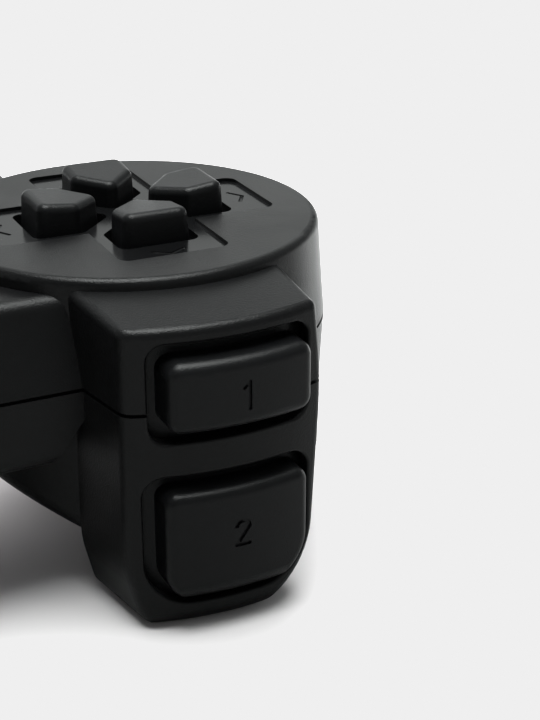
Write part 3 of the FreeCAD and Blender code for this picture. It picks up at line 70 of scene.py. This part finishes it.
def add_node(tree, kind, place=(0, 0), **settings):
    """A new shader node at a place, with its settings."""
    node = tree.nodes.new(kind)
    node.location = place
    for name, value in settings.items():
        setattr(node, name, value)
    return node


def open_group(name, inputs, outputs):
    """A new shader node group with number inputs (name, default) and outputs (name, socket type)."""
    group = bpy.data.node_groups.new(name, "ShaderNodeTree")
    for label, default in inputs:
        socket = group.interface.new_socket(label, in_out="INPUT", socket_type="NodeSocketFloat")
        socket.default_value = default
    for label, kind in outputs:
        group.interface.new_socket(label, in_out="OUTPUT", socket_type=kind)
    return group, add_node(group, "NodeGroupInput", (-800, 0)), add_node(group, "NodeGroupOutput", (800, 0))


def maths(tree, operation, a, b, place=(0, 0)):
    """A Math node; a and b are sockets or numbers."""
    node = add_node(tree, "ShaderNodeMath", place, operation=operation)
    for socket, value in zip(node.inputs, (a, b)):
        if isinstance(value, (int, float)):
            socket.default_value = value
        else:
            tree.links.new(value, socket)
    return node.outputs[0]


def moulded_grain_group():
    """Height of a spark-eroded mould's grain: small pits of two sizes."""
    inputs = [("Grains Per Metre", GRAINS_PER_METRE)]
    group, entry, result = open_group("moulded_grain", inputs, [("Height", "NodeSocketFloat")])
    where = add_node(group, "ShaderNodeTexCoord", (-600, 0))
    pits = add_node(group, "ShaderNodeTexNoise", (-300, 100))
    pits.inputs["Detail"].default_value = PIT_DETAIL
    pits.inputs["Roughness"].default_value = PIT_ROUGHNESS
    group.links.new(where.outputs["Object"], pits.inputs["Vector"])
    group.links.new(entry.outputs["Grains Per Metre"], pits.inputs["Scale"])
    crumbs = add_node(group, "ShaderNodeTexVoronoi", (-300, -150))
    group.links.new(where.outputs["Object"], crumbs.inputs["Vector"])
    finer = maths(group, "MULTIPLY", entry.outputs["Grains Per Metre"], CRUMBS_PER_GRAIN, (-500, -250))
    group.links.new(finer, crumbs.inputs["Scale"])
    small = maths(group, "MULTIPLY", crumbs.outputs["Distance"], CRUMB_HEIGHT, (0, -100))
    group.links.new(maths(group, "ADD", pits.outputs[0], small, (200, 0)), result.inputs["Height"])
    return group


def handling_group():
    """Faint smears from handling: a slow bent cloud, from 0 to 1."""
    inputs = [("Clouds Per Metre", CLOUDS_PER_METRE)]
    group, entry, result = open_group("handling", inputs, [("Mask", "NodeSocketFloat")])
    where = add_node(group, "ShaderNodeTexCoord", (-600, 0))
    cloud = add_node(group, "ShaderNodeTexNoise", (-300, 100))
    cloud.inputs["Detail"].default_value = CLOUD_DETAIL
    cloud.inputs["Distortion"].default_value = CLOUD_BEND
    group.links.new(where.outputs["Object"], cloud.inputs["Vector"])
    group.links.new(entry.outputs["Clouds Per Metre"], cloud.inputs["Scale"])
    levels = add_node(group, "ShaderNodeMapRange", (100, 100))
    levels.inputs["From Min"].default_value, levels.inputs["From Max"].default_value = CLOUD_LEVELS
    group.links.new(cloud.outputs[0], levels.inputs["Value"])
    group.links.new(levels.outputs[0], result.inputs["Mask"])
    return group


def lint_group():
    """Sparse pale specks of dust that lie on faces that look up, from 0 to 1."""
    inputs = [("Specks Per Metre", SPECKS_PER_METRE), ("Share", DUST_SHARE)]
    group, entry, result = open_group("lint", inputs, [("Mask", "NodeSocketFloat")])
    where = add_node(group, "ShaderNodeTexCoord", (-700, 0))
    cells = add_node(group, "ShaderNodeTexVoronoi", (-450, 100))
    group.links.new(where.outputs["Object"], cells.inputs["Vector"])
    group.links.new(entry.outputs["Specks Per Metre"], cells.inputs["Scale"])
    split = add_node(group, "ShaderNodeSeparateColor", (-250, 0))
    group.links.new(cells.outputs["Color"], split.inputs[0])
    picked = maths(group, "LESS_THAN", split.outputs[0], entry.outputs["Share"], (0, 0))
    near = maths(group, "LESS_THAN", cells.outputs["Distance"], SPECK_SIZE, (0, 200))
    facing = add_node(group, "ShaderNodeNewGeometry", (-450, -250))
    parts = add_node(group, "ShaderNodeSeparateXYZ", (-250, -250))
    group.links.new(facing.outputs["Normal"], parts.inputs[0])
    upward = maths(group, "GREATER_THAN", parts.outputs[2], SPECK_LOOKS_UP, (0, -250))
    spot = maths(group, "MULTIPLY", picked, near, (250, 100))
    group.links.new(maths(group, "MULTIPLY", spot, upward, (450, 0)), result.inputs["Mask"])
    return group


moulded_grain = moulded_grain_group()
handling = handling_group()
lint = lint_group()


def use_group(tree, group, place, **values):
    """A node group placed in a material with its own values."""
    node = add_node(tree, "ShaderNodeGroup", place, node_tree=group)
    for name, value in values.items():
        node.inputs[name.replace("_", " ")].default_value = value
    return node


def mixed_colour(tree, factor, first, second, place):
    """A colour between two: each is a socket or red, green and blue."""
    node = add_node(tree, "ShaderNodeMix", place, data_type="RGBA")
    tree.links.new(factor, node.inputs[0])
    for socket, value in ((node.inputs[6], first), (node.inputs[7], second)):
        if isinstance(value, tuple):
            socket.default_value = (*value, 1.0)
        else:
            tree.links.new(value, socket)
    return node.outputs[2]


def mapped(tree, value, low, high, place):
    """A 0 to 1 value spread between low and high, which are numbers or sockets."""
    node = add_node(tree, "ShaderNodeMapRange", place)
    for name, end in (("To Min", low), ("To Max", high)):
        if isinstance(end, (int, float)):
            node.inputs[name].default_value = end
        else:
            tree.links.new(end, node.inputs[name])
    tree.links.new(value, node.inputs["Value"])
    return node.outputs[0]


def moulded_plastic(name, clean, smeared, gloss, grains, depth):
    """Black moulded plastic. Gloss is the roughness where clean and where smeared."""
    material = bpy.data.materials.new(name)
    material.use_nodes = True
    tree = material.node_tree
    skin = tree.nodes["Principled BSDF"]
    smears = use_group(tree, handling, (-900, 200), Clouds_Per_Metre=CLOUDS_PER_METRE)
    specks = use_group(tree, lint, (-900, 0), Specks_Per_Metre=SPECKS_PER_METRE, Share=DUST_SHARE)
    pits = use_group(tree, moulded_grain, (-900, -250), Grains_Per_Metre=grains)
    plain = mixed_colour(tree, smears.outputs[0], clean, smeared, (-600, 300))
    dusted = mixed_colour(tree, specks.outputs[0], plain, DUST_COLOUR, (-350, 250))
    tree.links.new(dusted, skin.inputs["Base Color"])
    tree.links.new(mapped(tree, smears.outputs[0], *gloss, (-600, 50)), skin.inputs["Roughness"])
    bump = add_node(tree, "ShaderNodeBump", (-350, -250))
    bump.inputs["Distance"].default_value = depth
    tree.links.new(pits.outputs[0], bump.inputs["Height"])
    tree.links.new(bump.outputs[0], skin.inputs["Normal"])
    skin.inputs["Specular IOR Level"].default_value = PLASTIC_SPECULAR
    return material


def shell_black(name):
    """The grained black of both shells."""
    return moulded_plastic(name, SHELL_CLEAN, SHELL_SMEARED, SHELL_GLOSS, GRAINS_PER_METRE, GRAIN_DEPTH)


def finish_nodes(material, *names):
    """Gives the frame's own pieces a finish."""
    for name in names:
        for holder in nodes[name].material_slots:
            holder.material = material


def both(name):
    """A piece's name on the left and on the right."""
    return ["left_" + name, "right_" + name]


finish_nodes(shell_black("shell_black"), "lower_shell", *both("shoulder_bracket"))

# The main board is a green lacquered laminate with copper tracks under the lacquer, cut to fit both drums.
# Two more boards of the same kind stand behind the shoulder buttons, and amber film ribbons join them to it.
# The chips and switches on them are cast in black epoxy, and a red light pipe stands over the lamp.
TRACKS_PER_METRE = 260.0
TRACK_SHARE = 0.09
TRACK_RISE = 0.03 * MM
LACQUER_GREEN = (0.012, 0.09, 0.035)
TRACK_GREEN = (0.03, 0.19, 0.07)
LACQUER_GLOSS = 0.3
TINT_DETAIL = 4.0
TINT_GLOSS_DRIFT = 0.05
TINT_RISE = 0.02 * MM


def circuit_laminate():
    """Green lacquer over raised copper tracks."""
    material = bpy.data.materials.new("green_laminate")
    material.use_nodes = True
    tree = material.node_tree
    skin = tree.nodes["Principled BSDF"]
    where = add_node(tree, "ShaderNodeTexCoord", (-1100, 0))
    tracks = add_node(tree, "ShaderNodeTexVoronoi", (-900, 100), feature="DISTANCE_TO_EDGE")
    tracks.inputs["Scale"].default_value = TRACKS_PER_METRE
    tree.links.new(where.outputs["Object"], tracks.inputs["Vector"])
    line = maths(tree, "LESS_THAN", tracks.outputs["Distance"], TRACK_SHARE, (-650, 100))
    lacquered = mixed_colour(tree, line, LACQUER_GREEN, TRACK_GREEN, (-400, 200))
    tree.links.new(lacquered, skin.inputs["Base Color"])
    bump = add_node(tree, "ShaderNodeBump", (-400, -200))
    bump.inputs["Distance"].default_value = TRACK_RISE
    tree.links.new(line, bump.inputs["Height"])
    tree.links.new(bump.outputs[0], skin.inputs["Normal"])
    skin.inputs["Roughness"].default_value = LACQUER_GLOSS
    return material


finish_nodes(circuit_laminate(), "main_board", *both("shoulder_board"))


def tinted(name, colour, second, scale, roughness, metallic=0.0, rise=TINT_RISE):
    """A finish whose colour drifts between two shades, with a matching bump."""
    material = bpy.data.materials.new(name)
    material.use_nodes = True
    tree = material.node_tree
    skin = tree.nodes["Principled BSDF"]
    where = add_node(tree, "ShaderNodeTexCoord", (-900, 0))
    drift = add_node(tree, "ShaderNodeTexNoise", (-700, 0))
    drift.inputs["Scale"].default_value = scale
    drift.inputs["Detail"].default_value = TINT_DETAIL
    tree.links.new(where.outputs["Object"], drift.inputs["Vector"])
    shade = mixed_colour(tree, drift.outputs[0], colour, second, (-400, 200))
    tree.links.new(shade, skin.inputs["Base Color"])
    smooth, dull = roughness - TINT_GLOSS_DRIFT, roughness + TINT_GLOSS_DRIFT
    gloss = mapped(tree, drift.outputs[0], smooth, dull, (-400, 0))
    tree.links.new(gloss, skin.inputs["Roughness"])
    bump = add_node(tree, "ShaderNodeBump", (-400, -200))
    bump.inputs["Distance"].default_value = rise
    tree.links.new(drift.outputs[0], bump.inputs["Height"])
    tree.links.new(bump.outputs[0], skin.inputs["Normal"])
    skin.inputs["Metallic"].default_value = metallic
    return material


amber_film = tinted("amber_film", (0.42, 0.2, 0.04), (0.5, 0.27, 0.06), 300.0, 0.25)
finish_nodes(amber_film, *both("shoulder_ribbon"))
chip_epoxy = tinted("chip_epoxy", (0.012, 0.012, 0.013), (0.02, 0.02, 0.021), 2500.0, 0.55)
finish_nodes(chip_epoxy, "controller_chip", "board_parts", *both("stick_switch"))
lamp_red = tinted("lamp_red", (0.5, 0.05, 0.04), (0.6, 0.08, 0.06), 400.0, 0.15)
finish_nodes(lamp_red, "lamp_pipe")

# Under the keys and buttons lie soft silicone mats with a hollow dome for each of them.
# A dome snaps down when its key is pressed and closes a contact on the board under it.
mat_silicone = tinted("mat_silicone", (0.33, 0.34, 0.34), (0.4, 0.41, 0.41), 900.0, 0.6)
finish_nodes(mat_silicone, "direction_mat", "face_mat", "centre_mat", *both("shoulder_mat"))

# Each thumb stick stands on a gimbal of small mouldings in a folded steel frame, with two rotary sensors.
# The frame, bail, pins, motors and screws are zinc plated steel, and the motors' weights are sintered iron.
sensor_green = tinted("sensor_green", (0.05, 0.11, 0.07), (0.06, 0.14, 0.085), 1200.0, 0.45)
finish_nodes(sensor_green, *both("stick_sensors"), *both("stick_gimbal"))
finish_nodes(sensor_green, *both("stick_pivot"), *both("stick_shaft"))
zinc_plate = tinted("zinc_plate", (0.56, 0.56, 0.58), (0.66, 0.66, 0.68), 700.0, 0.3, 1.0)
finish_nodes(zinc_plate, "shell_screws", "board_screws", *both("trigger_pin"), *both("rumble_motor"))
finish_nodes(zinc_plate, *both("stick_frame"), *both("stick_spring"), *both("stick_bail"))
sintered_iron = tinted("sintered_iron", (0.3, 0.3, 0.31), (0.4, 0.4, 0.41), 3000.0, 0.55, 1.0)
finish_nodes(sintered_iron, *both("rumble_weight"))

# A coil spring under each shaft's foot brings its stick back upright and lifts it again after a press.
# It is wound from thin bright wire, and its two ends lie flat against the board and the foot.
SPRING_TURNS = 4.5
SPRING_FLAT = 0.5
SPRING_POINTS_PER_TURN = 16
SPRING_WIRE_R = 0.25 * MM


def coil_spring(node):
    """A spring wound in the room that its sleeve in the frame takes."""
    low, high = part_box(node)
    middle = (low + high) / 2
    radius = (high.x - low.x) / 2 - SPRING_WIRE_R
    rise = high.z - low.z - 2 * SPRING_WIRE_R
    wire = bpy.data.curves.new(node + "_wire", "CURVE")
    wire.dimensions = "3D"
    wire.bevel_depth = SPRING_WIRE_R
    wire.bevel_resolution = 2
    wire.use_fill_caps = True
    count = int(SPRING_TURNS * SPRING_POINTS_PER_TURN) + 1
    run = wire.splines.new("NURBS")
    run.points.add(count - 1)
    for i, point in enumerate(run.points):
        turn = math.tau * i / SPRING_POINTS_PER_TURN
        climbed = (i / SPRING_POINTS_PER_TURN - SPRING_FLAT) / (SPRING_TURNS - 2 * SPRING_FLAT)
        share = min(max(climbed, 0.0), 1.0)
        height = low.z + SPRING_WIRE_R + rise * share
        point.co = (middle.x + radius * math.cos(turn), middle.y + radius * math.sin(turn), height, 1)
    run.order_u = 3
    run.use_endpoint_u = True
    pattern = bpy.data.objects.new(node + "_wire", wire)
    mesh = bpy.data.meshes.new_from_object(pattern)
    bpy.data.objects.remove(pattern)
    spring = bpy.data.objects.new(node.replace("spring", "coil"), mesh)
    bpy.context.scene.collection.objects.link(spring)
    mesh.materials.clear()
    mesh.materials.append(zinc_plate)
    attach(spring, "root")
    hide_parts(node)


for node in both("stick_spring"):
    coil_spring(node)

# The thumb caps are soft black rubber moulded over the tops of the shafts. Each is low crowned, with rings
# for grip on the crown and shallow flutes round the rim.
# The dome under each neck fills most of the hole in its boss when the stick tilts.
CAP_R = 9.3 * MM
CAP_THICK = 4.0 * MM
CAP_CROWN = 1.1 * MM
CAP_EDGE = 1.3 * MM
CAP_NECK_R = 4.6 * MM
CAP_NECK_FILLET = 1.4 * MM
CAP_RINGS = (2.6 * MM, 4.1 * MM, 5.6 * MM)
CAP_RING_HALF = 0.35 * MM
CAP_RING_DEPTH = 0.35 * MM
CAP_RING_SHAPE = ((-1.6, 0.0), (-1.0, 0.1), (-0.6, 0.8), (0.0, 1.0), (0.6, 0.8), (1.0, 0.1), (1.6, 0.0))
CAP_FLUTES = 30
CAP_FLUTE_DEPTH = 0.22 * MM
CAP_STEPS = 240
DOME_R = 12.4 * MM
DOME_SKIN = 1.2 * MM
DOME_ANGLE = math.radians(80.0)
ARC_STEPS = 8
WELD = 0.001 * MM
RUBBER_CLEAN = (0.010, 0.010, 0.0105)
RUBBER_SMEARED = (0.013, 0.013, 0.0135)
RUBBER_GLOSS = (0.55, 0.65)
RUBBER_GRAINS_PER_METRE = 2600.0


def arc(centre, radius, start, end, steps=ARC_STEPS):
    """Points (distance from the axis, height) along an arc, with its angles from the horizontal."""
    turns = [start + (end - start) * i / steps for i in range(steps + 1)]
    return [(centre[0] + radius * math.cos(a), centre[1] + radius * math.sin(a)) for a in turns]


def cap_profile(top):
    """Half the cap's section from the crown's middle out, down and in under the dome."""
    crown_r = (CAP_R ** 2 + CAP_CROWN ** 2) / (2 * CAP_CROWN)

    def crown(r):
        return top - crown_r + math.sqrt(crown_r ** 2 - r ** 2)

    section = [(0.0, top)]
    for ring in CAP_RINGS:
        for off, depth in CAP_RING_SHAPE:
            r = ring + off * CAP_RING_HALF
            section.append((r, crown(r) - depth * CAP_RING_DEPTH))
    under = top - CAP_THICK
    edge_r = CAP_R - CAP_EDGE
    tilt = math.acos(edge_r / crown_r)
    section.append(((CAP_RINGS[-1] + edge_r) / 2, crown((CAP_RINGS[-1] + edge_r) / 2)))
    section += arc((edge_r, crown(edge_r) - CAP_EDGE), CAP_EDGE, tilt, 0.0)
    section += arc((edge_r, under + CAP_EDGE), CAP_EDGE, 0.0, -math.pi / 2)
    bend = (CAP_NECK_R + CAP_NECK_FILLET, under - CAP_NECK_FILLET)
    section += arc(bend, CAP_NECK_FILLET, math.pi / 2, math.pi)
    pivot = top - STICK_REACH
    meet = math.acos((CAP_NECK_R + CAP_NECK_FILLET / 2) / DOME_R)
    section += arc((0.0, pivot), DOME_R, meet, math.pi / 2 - DOME_ANGLE, 2 * ARC_STEPS)
    section += arc((0.0, pivot), DOME_R - DOME_SKIN, math.pi / 2 - DOME_ANGLE, math.pi / 2, 2 * ARC_STEPS)
    return section


def thumb_cap(side, rubber):
    """A cap turned from its half section, fluted round the rim, in the place of the frame's plain one."""
    node = side + "_stick_cap"
    low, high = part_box(node)
    shape = bmesh.new()
    points = [shape.verts.new((r, 0.0, z)) for r, z in cap_profile(high.z)]
    line = [shape.edges.new(pair) for pair in zip(points, points[1:])]
    turn = {"cent": (0, 0, 0), "axis": (0, 0, 1), "angle": math.tau, "steps": CAP_STEPS, "use_merge": True}
    bmesh.ops.spin(shape, geom=points + line, **turn)
    bmesh.ops.remove_doubles(shape, verts=shape.verts, dist=WELD)
    for point in shape.verts:
        reach = math.hypot(point.co.x, point.co.y)
        if point.co.z > high.z - CAP_THICK and reach > CAP_R - CAP_EDGE:
            share = min(1.0, (reach - CAP_R + CAP_EDGE) / CAP_EDGE)
            wave = 0.5 - 0.5 * math.cos(CAP_FLUTES * math.atan2(point.co.y, point.co.x))
            squeeze = 1 - CAP_FLUTE_DEPTH * wave * share / reach
            point.co.x *= squeeze
            point.co.y *= squeeze
    bmesh.ops.recalc_face_normals(shape, faces=shape.faces)
    bmesh.ops.translate(shape, verts=shape.verts, vec=((low.x + high.x) / 2, (low.y + high.y) / 2, 0))
    mesh = bpy.data.meshes.new(side + "_thumb_rubber")
    shape.to_mesh(mesh)
    shape.free()
    mesh.shade_smooth()
    mesh.materials.append(rubber)
    cap = bpy.data.objects.new(side + "_thumb_rubber", mesh)
    bpy.context.scene.collection.objects.link(cap)
    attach(cap, side + "_stick")
    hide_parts(node)


cap_low, cap_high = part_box("left_stick_cap")
STICK_REACH = cap_high.z - cap_low.z + DOME_R * math.cos(DOME_ANGLE)
stick_rubber = moulded_plastic(
    "stick_rubber", RUBBER_CLEAN, RUBBER_SMEARED, RUBBER_GLOSS, RUBBER_GRAINS_PER_METRE, GRAIN_DEPTH,
)
for side in ("left", "right"):
    thumb_cap(side, stick_rubber)
finish_nodes(stick_rubber, "select_button", "start_button", "mode_button")

# Direction keys, face buttons and shoulder buttons are black mouldings with a finer grain than the shells,
# a little smoother where fingers have rubbed them. Each is held in its window by a flange behind the wall.
KEY_CLEAN = (0.0045, 0.0047, 0.0052)
KEY_SMEARED = (0.0055, 0.0057, 0.0062)
KEY_GLOSS = (0.30, 0.38)
KEY_GRAINS_PER_METRE = 4200.0
KEY_GRAIN_DEPTH = 0.035 * MM
key_black = moulded_plastic(
    "key_black", KEY_CLEAN, KEY_SMEARED, KEY_GLOSS, KEY_GRAINS_PER_METRE, KEY_GRAIN_DEPTH,
)
finish_nodes(key_black, *["direction_key_" + way for way in ("up", "down", "left", "right")])
finish_nodes(key_black, *["face_button_%d" % number for number in (1, 2, 3, 4)])
finish_nodes(key_black, *both("bumper"), *both("trigger"))

# The face buttons carry plain numerals, pad printed in light grey ink on their flat tops.
# They are read from the grips' side, as the player sees them.
NUMERAL_HEIGHT = 4.6 * MM
INK_THICK = 0.02 * MM
INK_RISE = 0.005 * MM
ink_grey = tinted("ink_grey", (0.3, 0.3, 0.3), (0.36, 0.36, 0.36), 3000.0, 0.5, rise=INK_RISE)


def printed_numeral(number):
    """A numeral that lies on the top of its button."""
    node = "face_button_%d" % number
    low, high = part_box(node)
    text = bpy.data.curves.new(node + "_text", "FONT")
    text.body = str(number)
    text.size = NUMERAL_HEIGHT
    text.align_x = "CENTER"
    text.align_y = "CENTER"
    text.extrude = INK_THICK
    pattern = bpy.data.objects.new(node + "_text", text)
    mesh = bpy.data.meshes.new_from_object(pattern)
    bpy.data.objects.remove(pattern)
    mesh.transform(Matrix.Translation(((low.x + high.x) / 2, (low.y + high.y) / 2, high.z)))
    mesh.materials.clear()
    mesh.materials.append(ink_grey)
    numeral = bpy.data.objects.new("numeral_%d" % number, mesh)
    bpy.context.scene.collection.objects.link(numeral)
    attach(numeral, node)


for number in (1, 2, 3, 4):
    printed_numeral(number)

# The upper shell is moulded in the same black ABS as the lower one and closes the pad.
# The floors of its two cross-shaped recesses were polished in the mould, so they mirror more than the top.
RECESS_DEPTH = 0.5 * MM
RECESS_BAND = 0.15 * MM
RECESS_REACH = 22.0 * MM
RECESS_GLOSS = 0.16
RECESS_FLAT = 0.5


def polished_recess(material):
    """Turns the shell's grain off, and its gloss up, on the floors of the cross-shaped recesses."""
    tree = material.node_tree
    skin = tree.nodes["Principled BSDF"]
    mat_low, mat_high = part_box("direction_mat")
    centre = (mat_low + mat_high) / 2
    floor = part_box("upper_shell")[1].z - RECESS_DEPTH
    where = add_node(tree, "ShaderNodeTexCoord", (-1900, -600))
    parts = add_node(tree, "ShaderNodeSeparateXYZ", (-1700, -600))
    tree.links.new(where.outputs["Object"], parts.inputs[0])
    side = maths(tree, "ABSOLUTE", parts.outputs[0], 0.0, (-1600, -450))
    across = maths(tree, "SUBTRACT", side, abs(centre.x), (-1500, -500))
    along = maths(tree, "SUBTRACT", parts.outputs[1], centre.y, (-1500, -650))
    across_square = maths(tree, "MULTIPLY", across, across, (-1400, -500))
    along_square = maths(tree, "MULTIPLY", along, along, (-1400, -650))
    square = maths(tree, "ADD", across_square, along_square, (-1300, -600))
    inside = maths(tree, "LESS_THAN", square, RECESS_REACH ** 2, (-1100, -600))
    off = maths(tree, "ABSOLUTE", maths(tree, "SUBTRACT", parts.outputs[2], floor), 0.0, (-1300, -800))
    level = maths(tree, "LESS_THAN", off, RECESS_BAND, (-1100, -800))
    mask = maths(tree, "MULTIPLY", inside, level, (-900, -700))
    grained = skin.inputs["Roughness"].links[0].from_socket
    tree.links.new(mapped(tree, mask, grained, RECESS_GLOSS, (-300, 50)), skin.inputs["Roughness"])
    bump = skin.inputs["Normal"].links[0].from_node
    pits = bump.inputs["Height"].links[0].from_socket
    tree.links.new(mapped(tree, mask, pits, RECESS_FLAT, (-500, -400)), bump.inputs["Height"])
    return material


finish_nodes(polished_recess(shell_black("upper_shell_black")), "upper_shell")

# The gland is a soft black rubber bush in the front wall that the lead would leave through.
# It is pushed in from outside and held by the groove round it.
gland_rubber = tinted("gland_rubber", (0.014, 0.014, 0.014), (0.02, 0.02, 0.02), 1500.0, 0.6)
finish_nodes(gland_rubber, "cord_gland")

# The pad stands on a plain white table that runs out of sight and has no gloss of its own.
# The camera sees it evenly white. To every other ray its near half is painted darker, a painted shade that
# darkens what the plastic mirrors of it.
TABLE_HALF = 6.0
TABLE_WHITE = 0.74
TABLE_TINT = (1.036, 1.0, 1.015)
PAINTED_SHADE_SPAN = (-30.0 * MM, 20.0 * MM)
PAINTED_SHADE_TONE = 0.28
table = bpy.data.meshes.new("table")
shape = bmesh.new()
bmesh.ops.create_grid(shape, x_segments=1, y_segments=1, size=TABLE_HALF)
shape.to_mesh(table)
shape.free()
table_top = bpy.data.objects.new("table", table)
bpy.context.scene.collection.objects.link(table_top)
paper = bpy.data.materials.new("table_white")
paper.use_nodes = True
paper_skin = paper.node_tree.nodes["Principled BSDF"]
paper_tree = paper.node_tree
ray = add_node(paper_tree, "ShaderNodeLightPath", (-900, 300))
spot = add_node(paper_tree, "ShaderNodeTexCoord", (-900, -100))
across_table = add_node(paper_tree, "ShaderNodeSeparateXYZ", (-700, -100))
paper_tree.links.new(spot.outputs["Object"], across_table.inputs[0])
# Painted shade: for all but camera rays, the table's colour falls from white to a dark tone towards the
# lens's side.
painted_shade = add_node(paper_tree, "ShaderNodeMapRange", (-500, -100))
painted_shade.inputs["From Min"].default_value, painted_shade.inputs["From Max"].default_value = PAINTED_SHADE_SPAN
painted_shade.inputs["To Min"].default_value = TABLE_WHITE
painted_shade.inputs["To Max"].default_value = PAINTED_SHADE_TONE
paper_tree.links.new(across_table.outputs[1], painted_shade.inputs["Value"])
white = tuple(TABLE_WHITE * part for part in TABLE_TINT)
# The camera sees the white table, and every other ray sees the painted shade.
seen = mixed_colour(paper_tree, ray.outputs["Is Camera Ray"], painted_shade.outputs[0], white, (-250, 100))
paper_tree.links.new(seen, paper_skin.inputs["Base Color"])
paper_skin.inputs["Roughness"].default_value = 1.0
paper_skin.inputs["Specular IOR Level"].default_value = 0.0
table.materials.append(paper)

# A wide softbox hangs right over the pad, and pale walls stand behind it. The room is dim between these two,
# on the lens's side, beyond the right wing and at the far left.
# Each sky tone stands at the sine of its height over the table.
SOFTBOX = 12.0
SKY_TONES = (
    (0.0, 0.9), (0.2, 0.6), (0.3, 0.7), (0.42, 1.4), (0.62, 0.9),
    (0.76, 0.2), (0.86, 0.25), (0.92, 1.1), (0.95, SOFTBOX),
)
SKY_STRENGTH = 1.16
SKY_TINT = (0.965, 1.0, 0.985)
DIM_SHARE = 0.3
DIM_SPAN = (0.25, 0.65)
FAR_LEFT_SPAN = (-0.55, -0.8)
FAR_LEFT_SHARE = 0.35
world = bpy.data.worlds.new("studio")
bpy.context.scene.world = world
world.use_nodes = True
sky = world.node_tree
direction = add_node(sky, "ShaderNodeTexCoord", (-900, 0))
heading = add_node(sky, "ShaderNodeSeparateXYZ", (-700, 0))
sky.links.new(direction.outputs["Generated"], heading.inputs[0])
band = add_node(sky, "ShaderNodeValToRGB", (-450, 0))
sky.links.new(heading.outputs[2], band.inputs[0])
band.color_ramp.interpolation = "EASE"
band.color_ramp.elements.remove(band.color_ramp.elements[1])
for place, tone in SKY_TONES:
    stop = band.color_ramp.elements.new(place)
    stop.color = (*[part * tone / SOFTBOX for part in SKY_TINT], 1)
band.color_ramp.elements.remove(band.color_ramp.elements[0])


def dimmed_towards(axis, span, share, place):
    """Falls from 1 to a share as the view turns along an axis from one end of a span to the other."""
    fade = add_node(sky, "ShaderNodeMapRange", place, interpolation_type="SMOOTHSTEP")
    fade.inputs["From Min"].default_value = span[0]
    fade.inputs["From Max"].default_value = span[1]
    fade.inputs["To Min"].default_value = 1.0
    fade.inputs["To Max"].default_value = share
    sky.links.new(heading.outputs[axis], fade.inputs["Value"])
    return fade.outputs[0]


right_wing = dimmed_towards(0, DIM_SPAN, DIM_SHARE, (-450, -250))
lens_side = dimmed_towards(1, DIM_SPAN, DIM_SHARE, (-450, -450))
far_left = dimmed_towards(0, FAR_LEFT_SPAN, FAR_LEFT_SHARE, (-450, -650))
near_sides = maths(sky, "MULTIPLY", right_wing, lens_side, (-250, -300))
sides = maths(sky, "MULTIPLY", near_sides, far_left, (-100, -400))
backdrop = sky.nodes["Background"]
sky.links.new(band.outputs[0], backdrop.inputs["Color"])
sky.links.new(maths(sky, "MULTIPLY", sides, SOFTBOX * SKY_STRENGTH, (0, -300)), backdrop.inputs["Strength"])

# A lit panel stands behind the grips and lights the table under the pad.
# It isn't seen itself, and the plastic doesn't mirror it.
PANEL_PLACE = (0.0, -0.5, 0.31)
PANEL_SIZE = (0.9, 0.26)
PANEL_POWER = 12.0
panel = bpy.data.lights.new("low_panel", "AREA")
panel.shape = "RECTANGLE"
panel.size, panel.size_y = PANEL_SIZE
panel.energy = PANEL_POWER
low_panel = bpy.data.objects.new("low_panel", panel)
low_panel.location = PANEL_PLACE
low_panel.rotation_euler = (math.radians(90.0), 0.0, 0.0)
low_panel.visible_glossy = False
low_panel.visible_camera = False
bpy.context.scene.collection.objects.link(low_panel)

# The camera looks at the left wing from the far side of the pad, from about 20 cm away.
# It stands a little above the pad and looks down on it, turned towards the middle.
CAMERA_PLACE = (22.3, 204.9, 113.6)
CAMERA_TURN = math.radians(25.57)
CAMERA_RISE = math.radians(23.63)
CAMERA_LENS = 77.1
CAMERA_SENSOR = 36.0
CAMERA_SEES_FROM = 0.01
CAMERA_SEES_TO = 50.0
back = Vector((
    math.sin(CAMERA_TURN) * math.cos(CAMERA_RISE),
    math.cos(CAMERA_TURN) * math.cos(CAMERA_RISE),
    math.sin(CAMERA_RISE),
))
right = Vector((-math.cos(CAMERA_TURN), math.sin(CAMERA_TURN), 0))
camera = bpy.data.cameras.new("camera")
camera.lens = CAMERA_LENS
camera.sensor_width = CAMERA_SENSOR
camera.clip_start = CAMERA_SEES_FROM
camera.clip_end = CAMERA_SEES_TO
viewer = bpy.data.objects.new("camera", camera)
bpy.context.scene.collection.objects.link(viewer)
turned = Matrix((right, back.cross(right), back)).transposed().to_4x4()
viewer.matrix_world = Matrix.Translation(Vector(CAMERA_PLACE) * MM) @ turned
bpy.context.scene.camera = viewer
bpy.context.scene.view_settings.view_transform = "Standard"

# The picture is exposed so that the open table is past white.
# White is then brought down to a light grey, as a shop's picture often is.
TABLE_GREY = 0.863
look = bpy.context.scene.view_settings
look.use_curve_mapping = True
look.curve_mapping.extend = "HORIZONTAL"
tone = look.curve_mapping.curves[3]
tone.points[-1].location = (1.0, TABLE_GREY)
for point in tone.points:
    point.handle_type = "VECTOR"
look.curve_mapping.update()
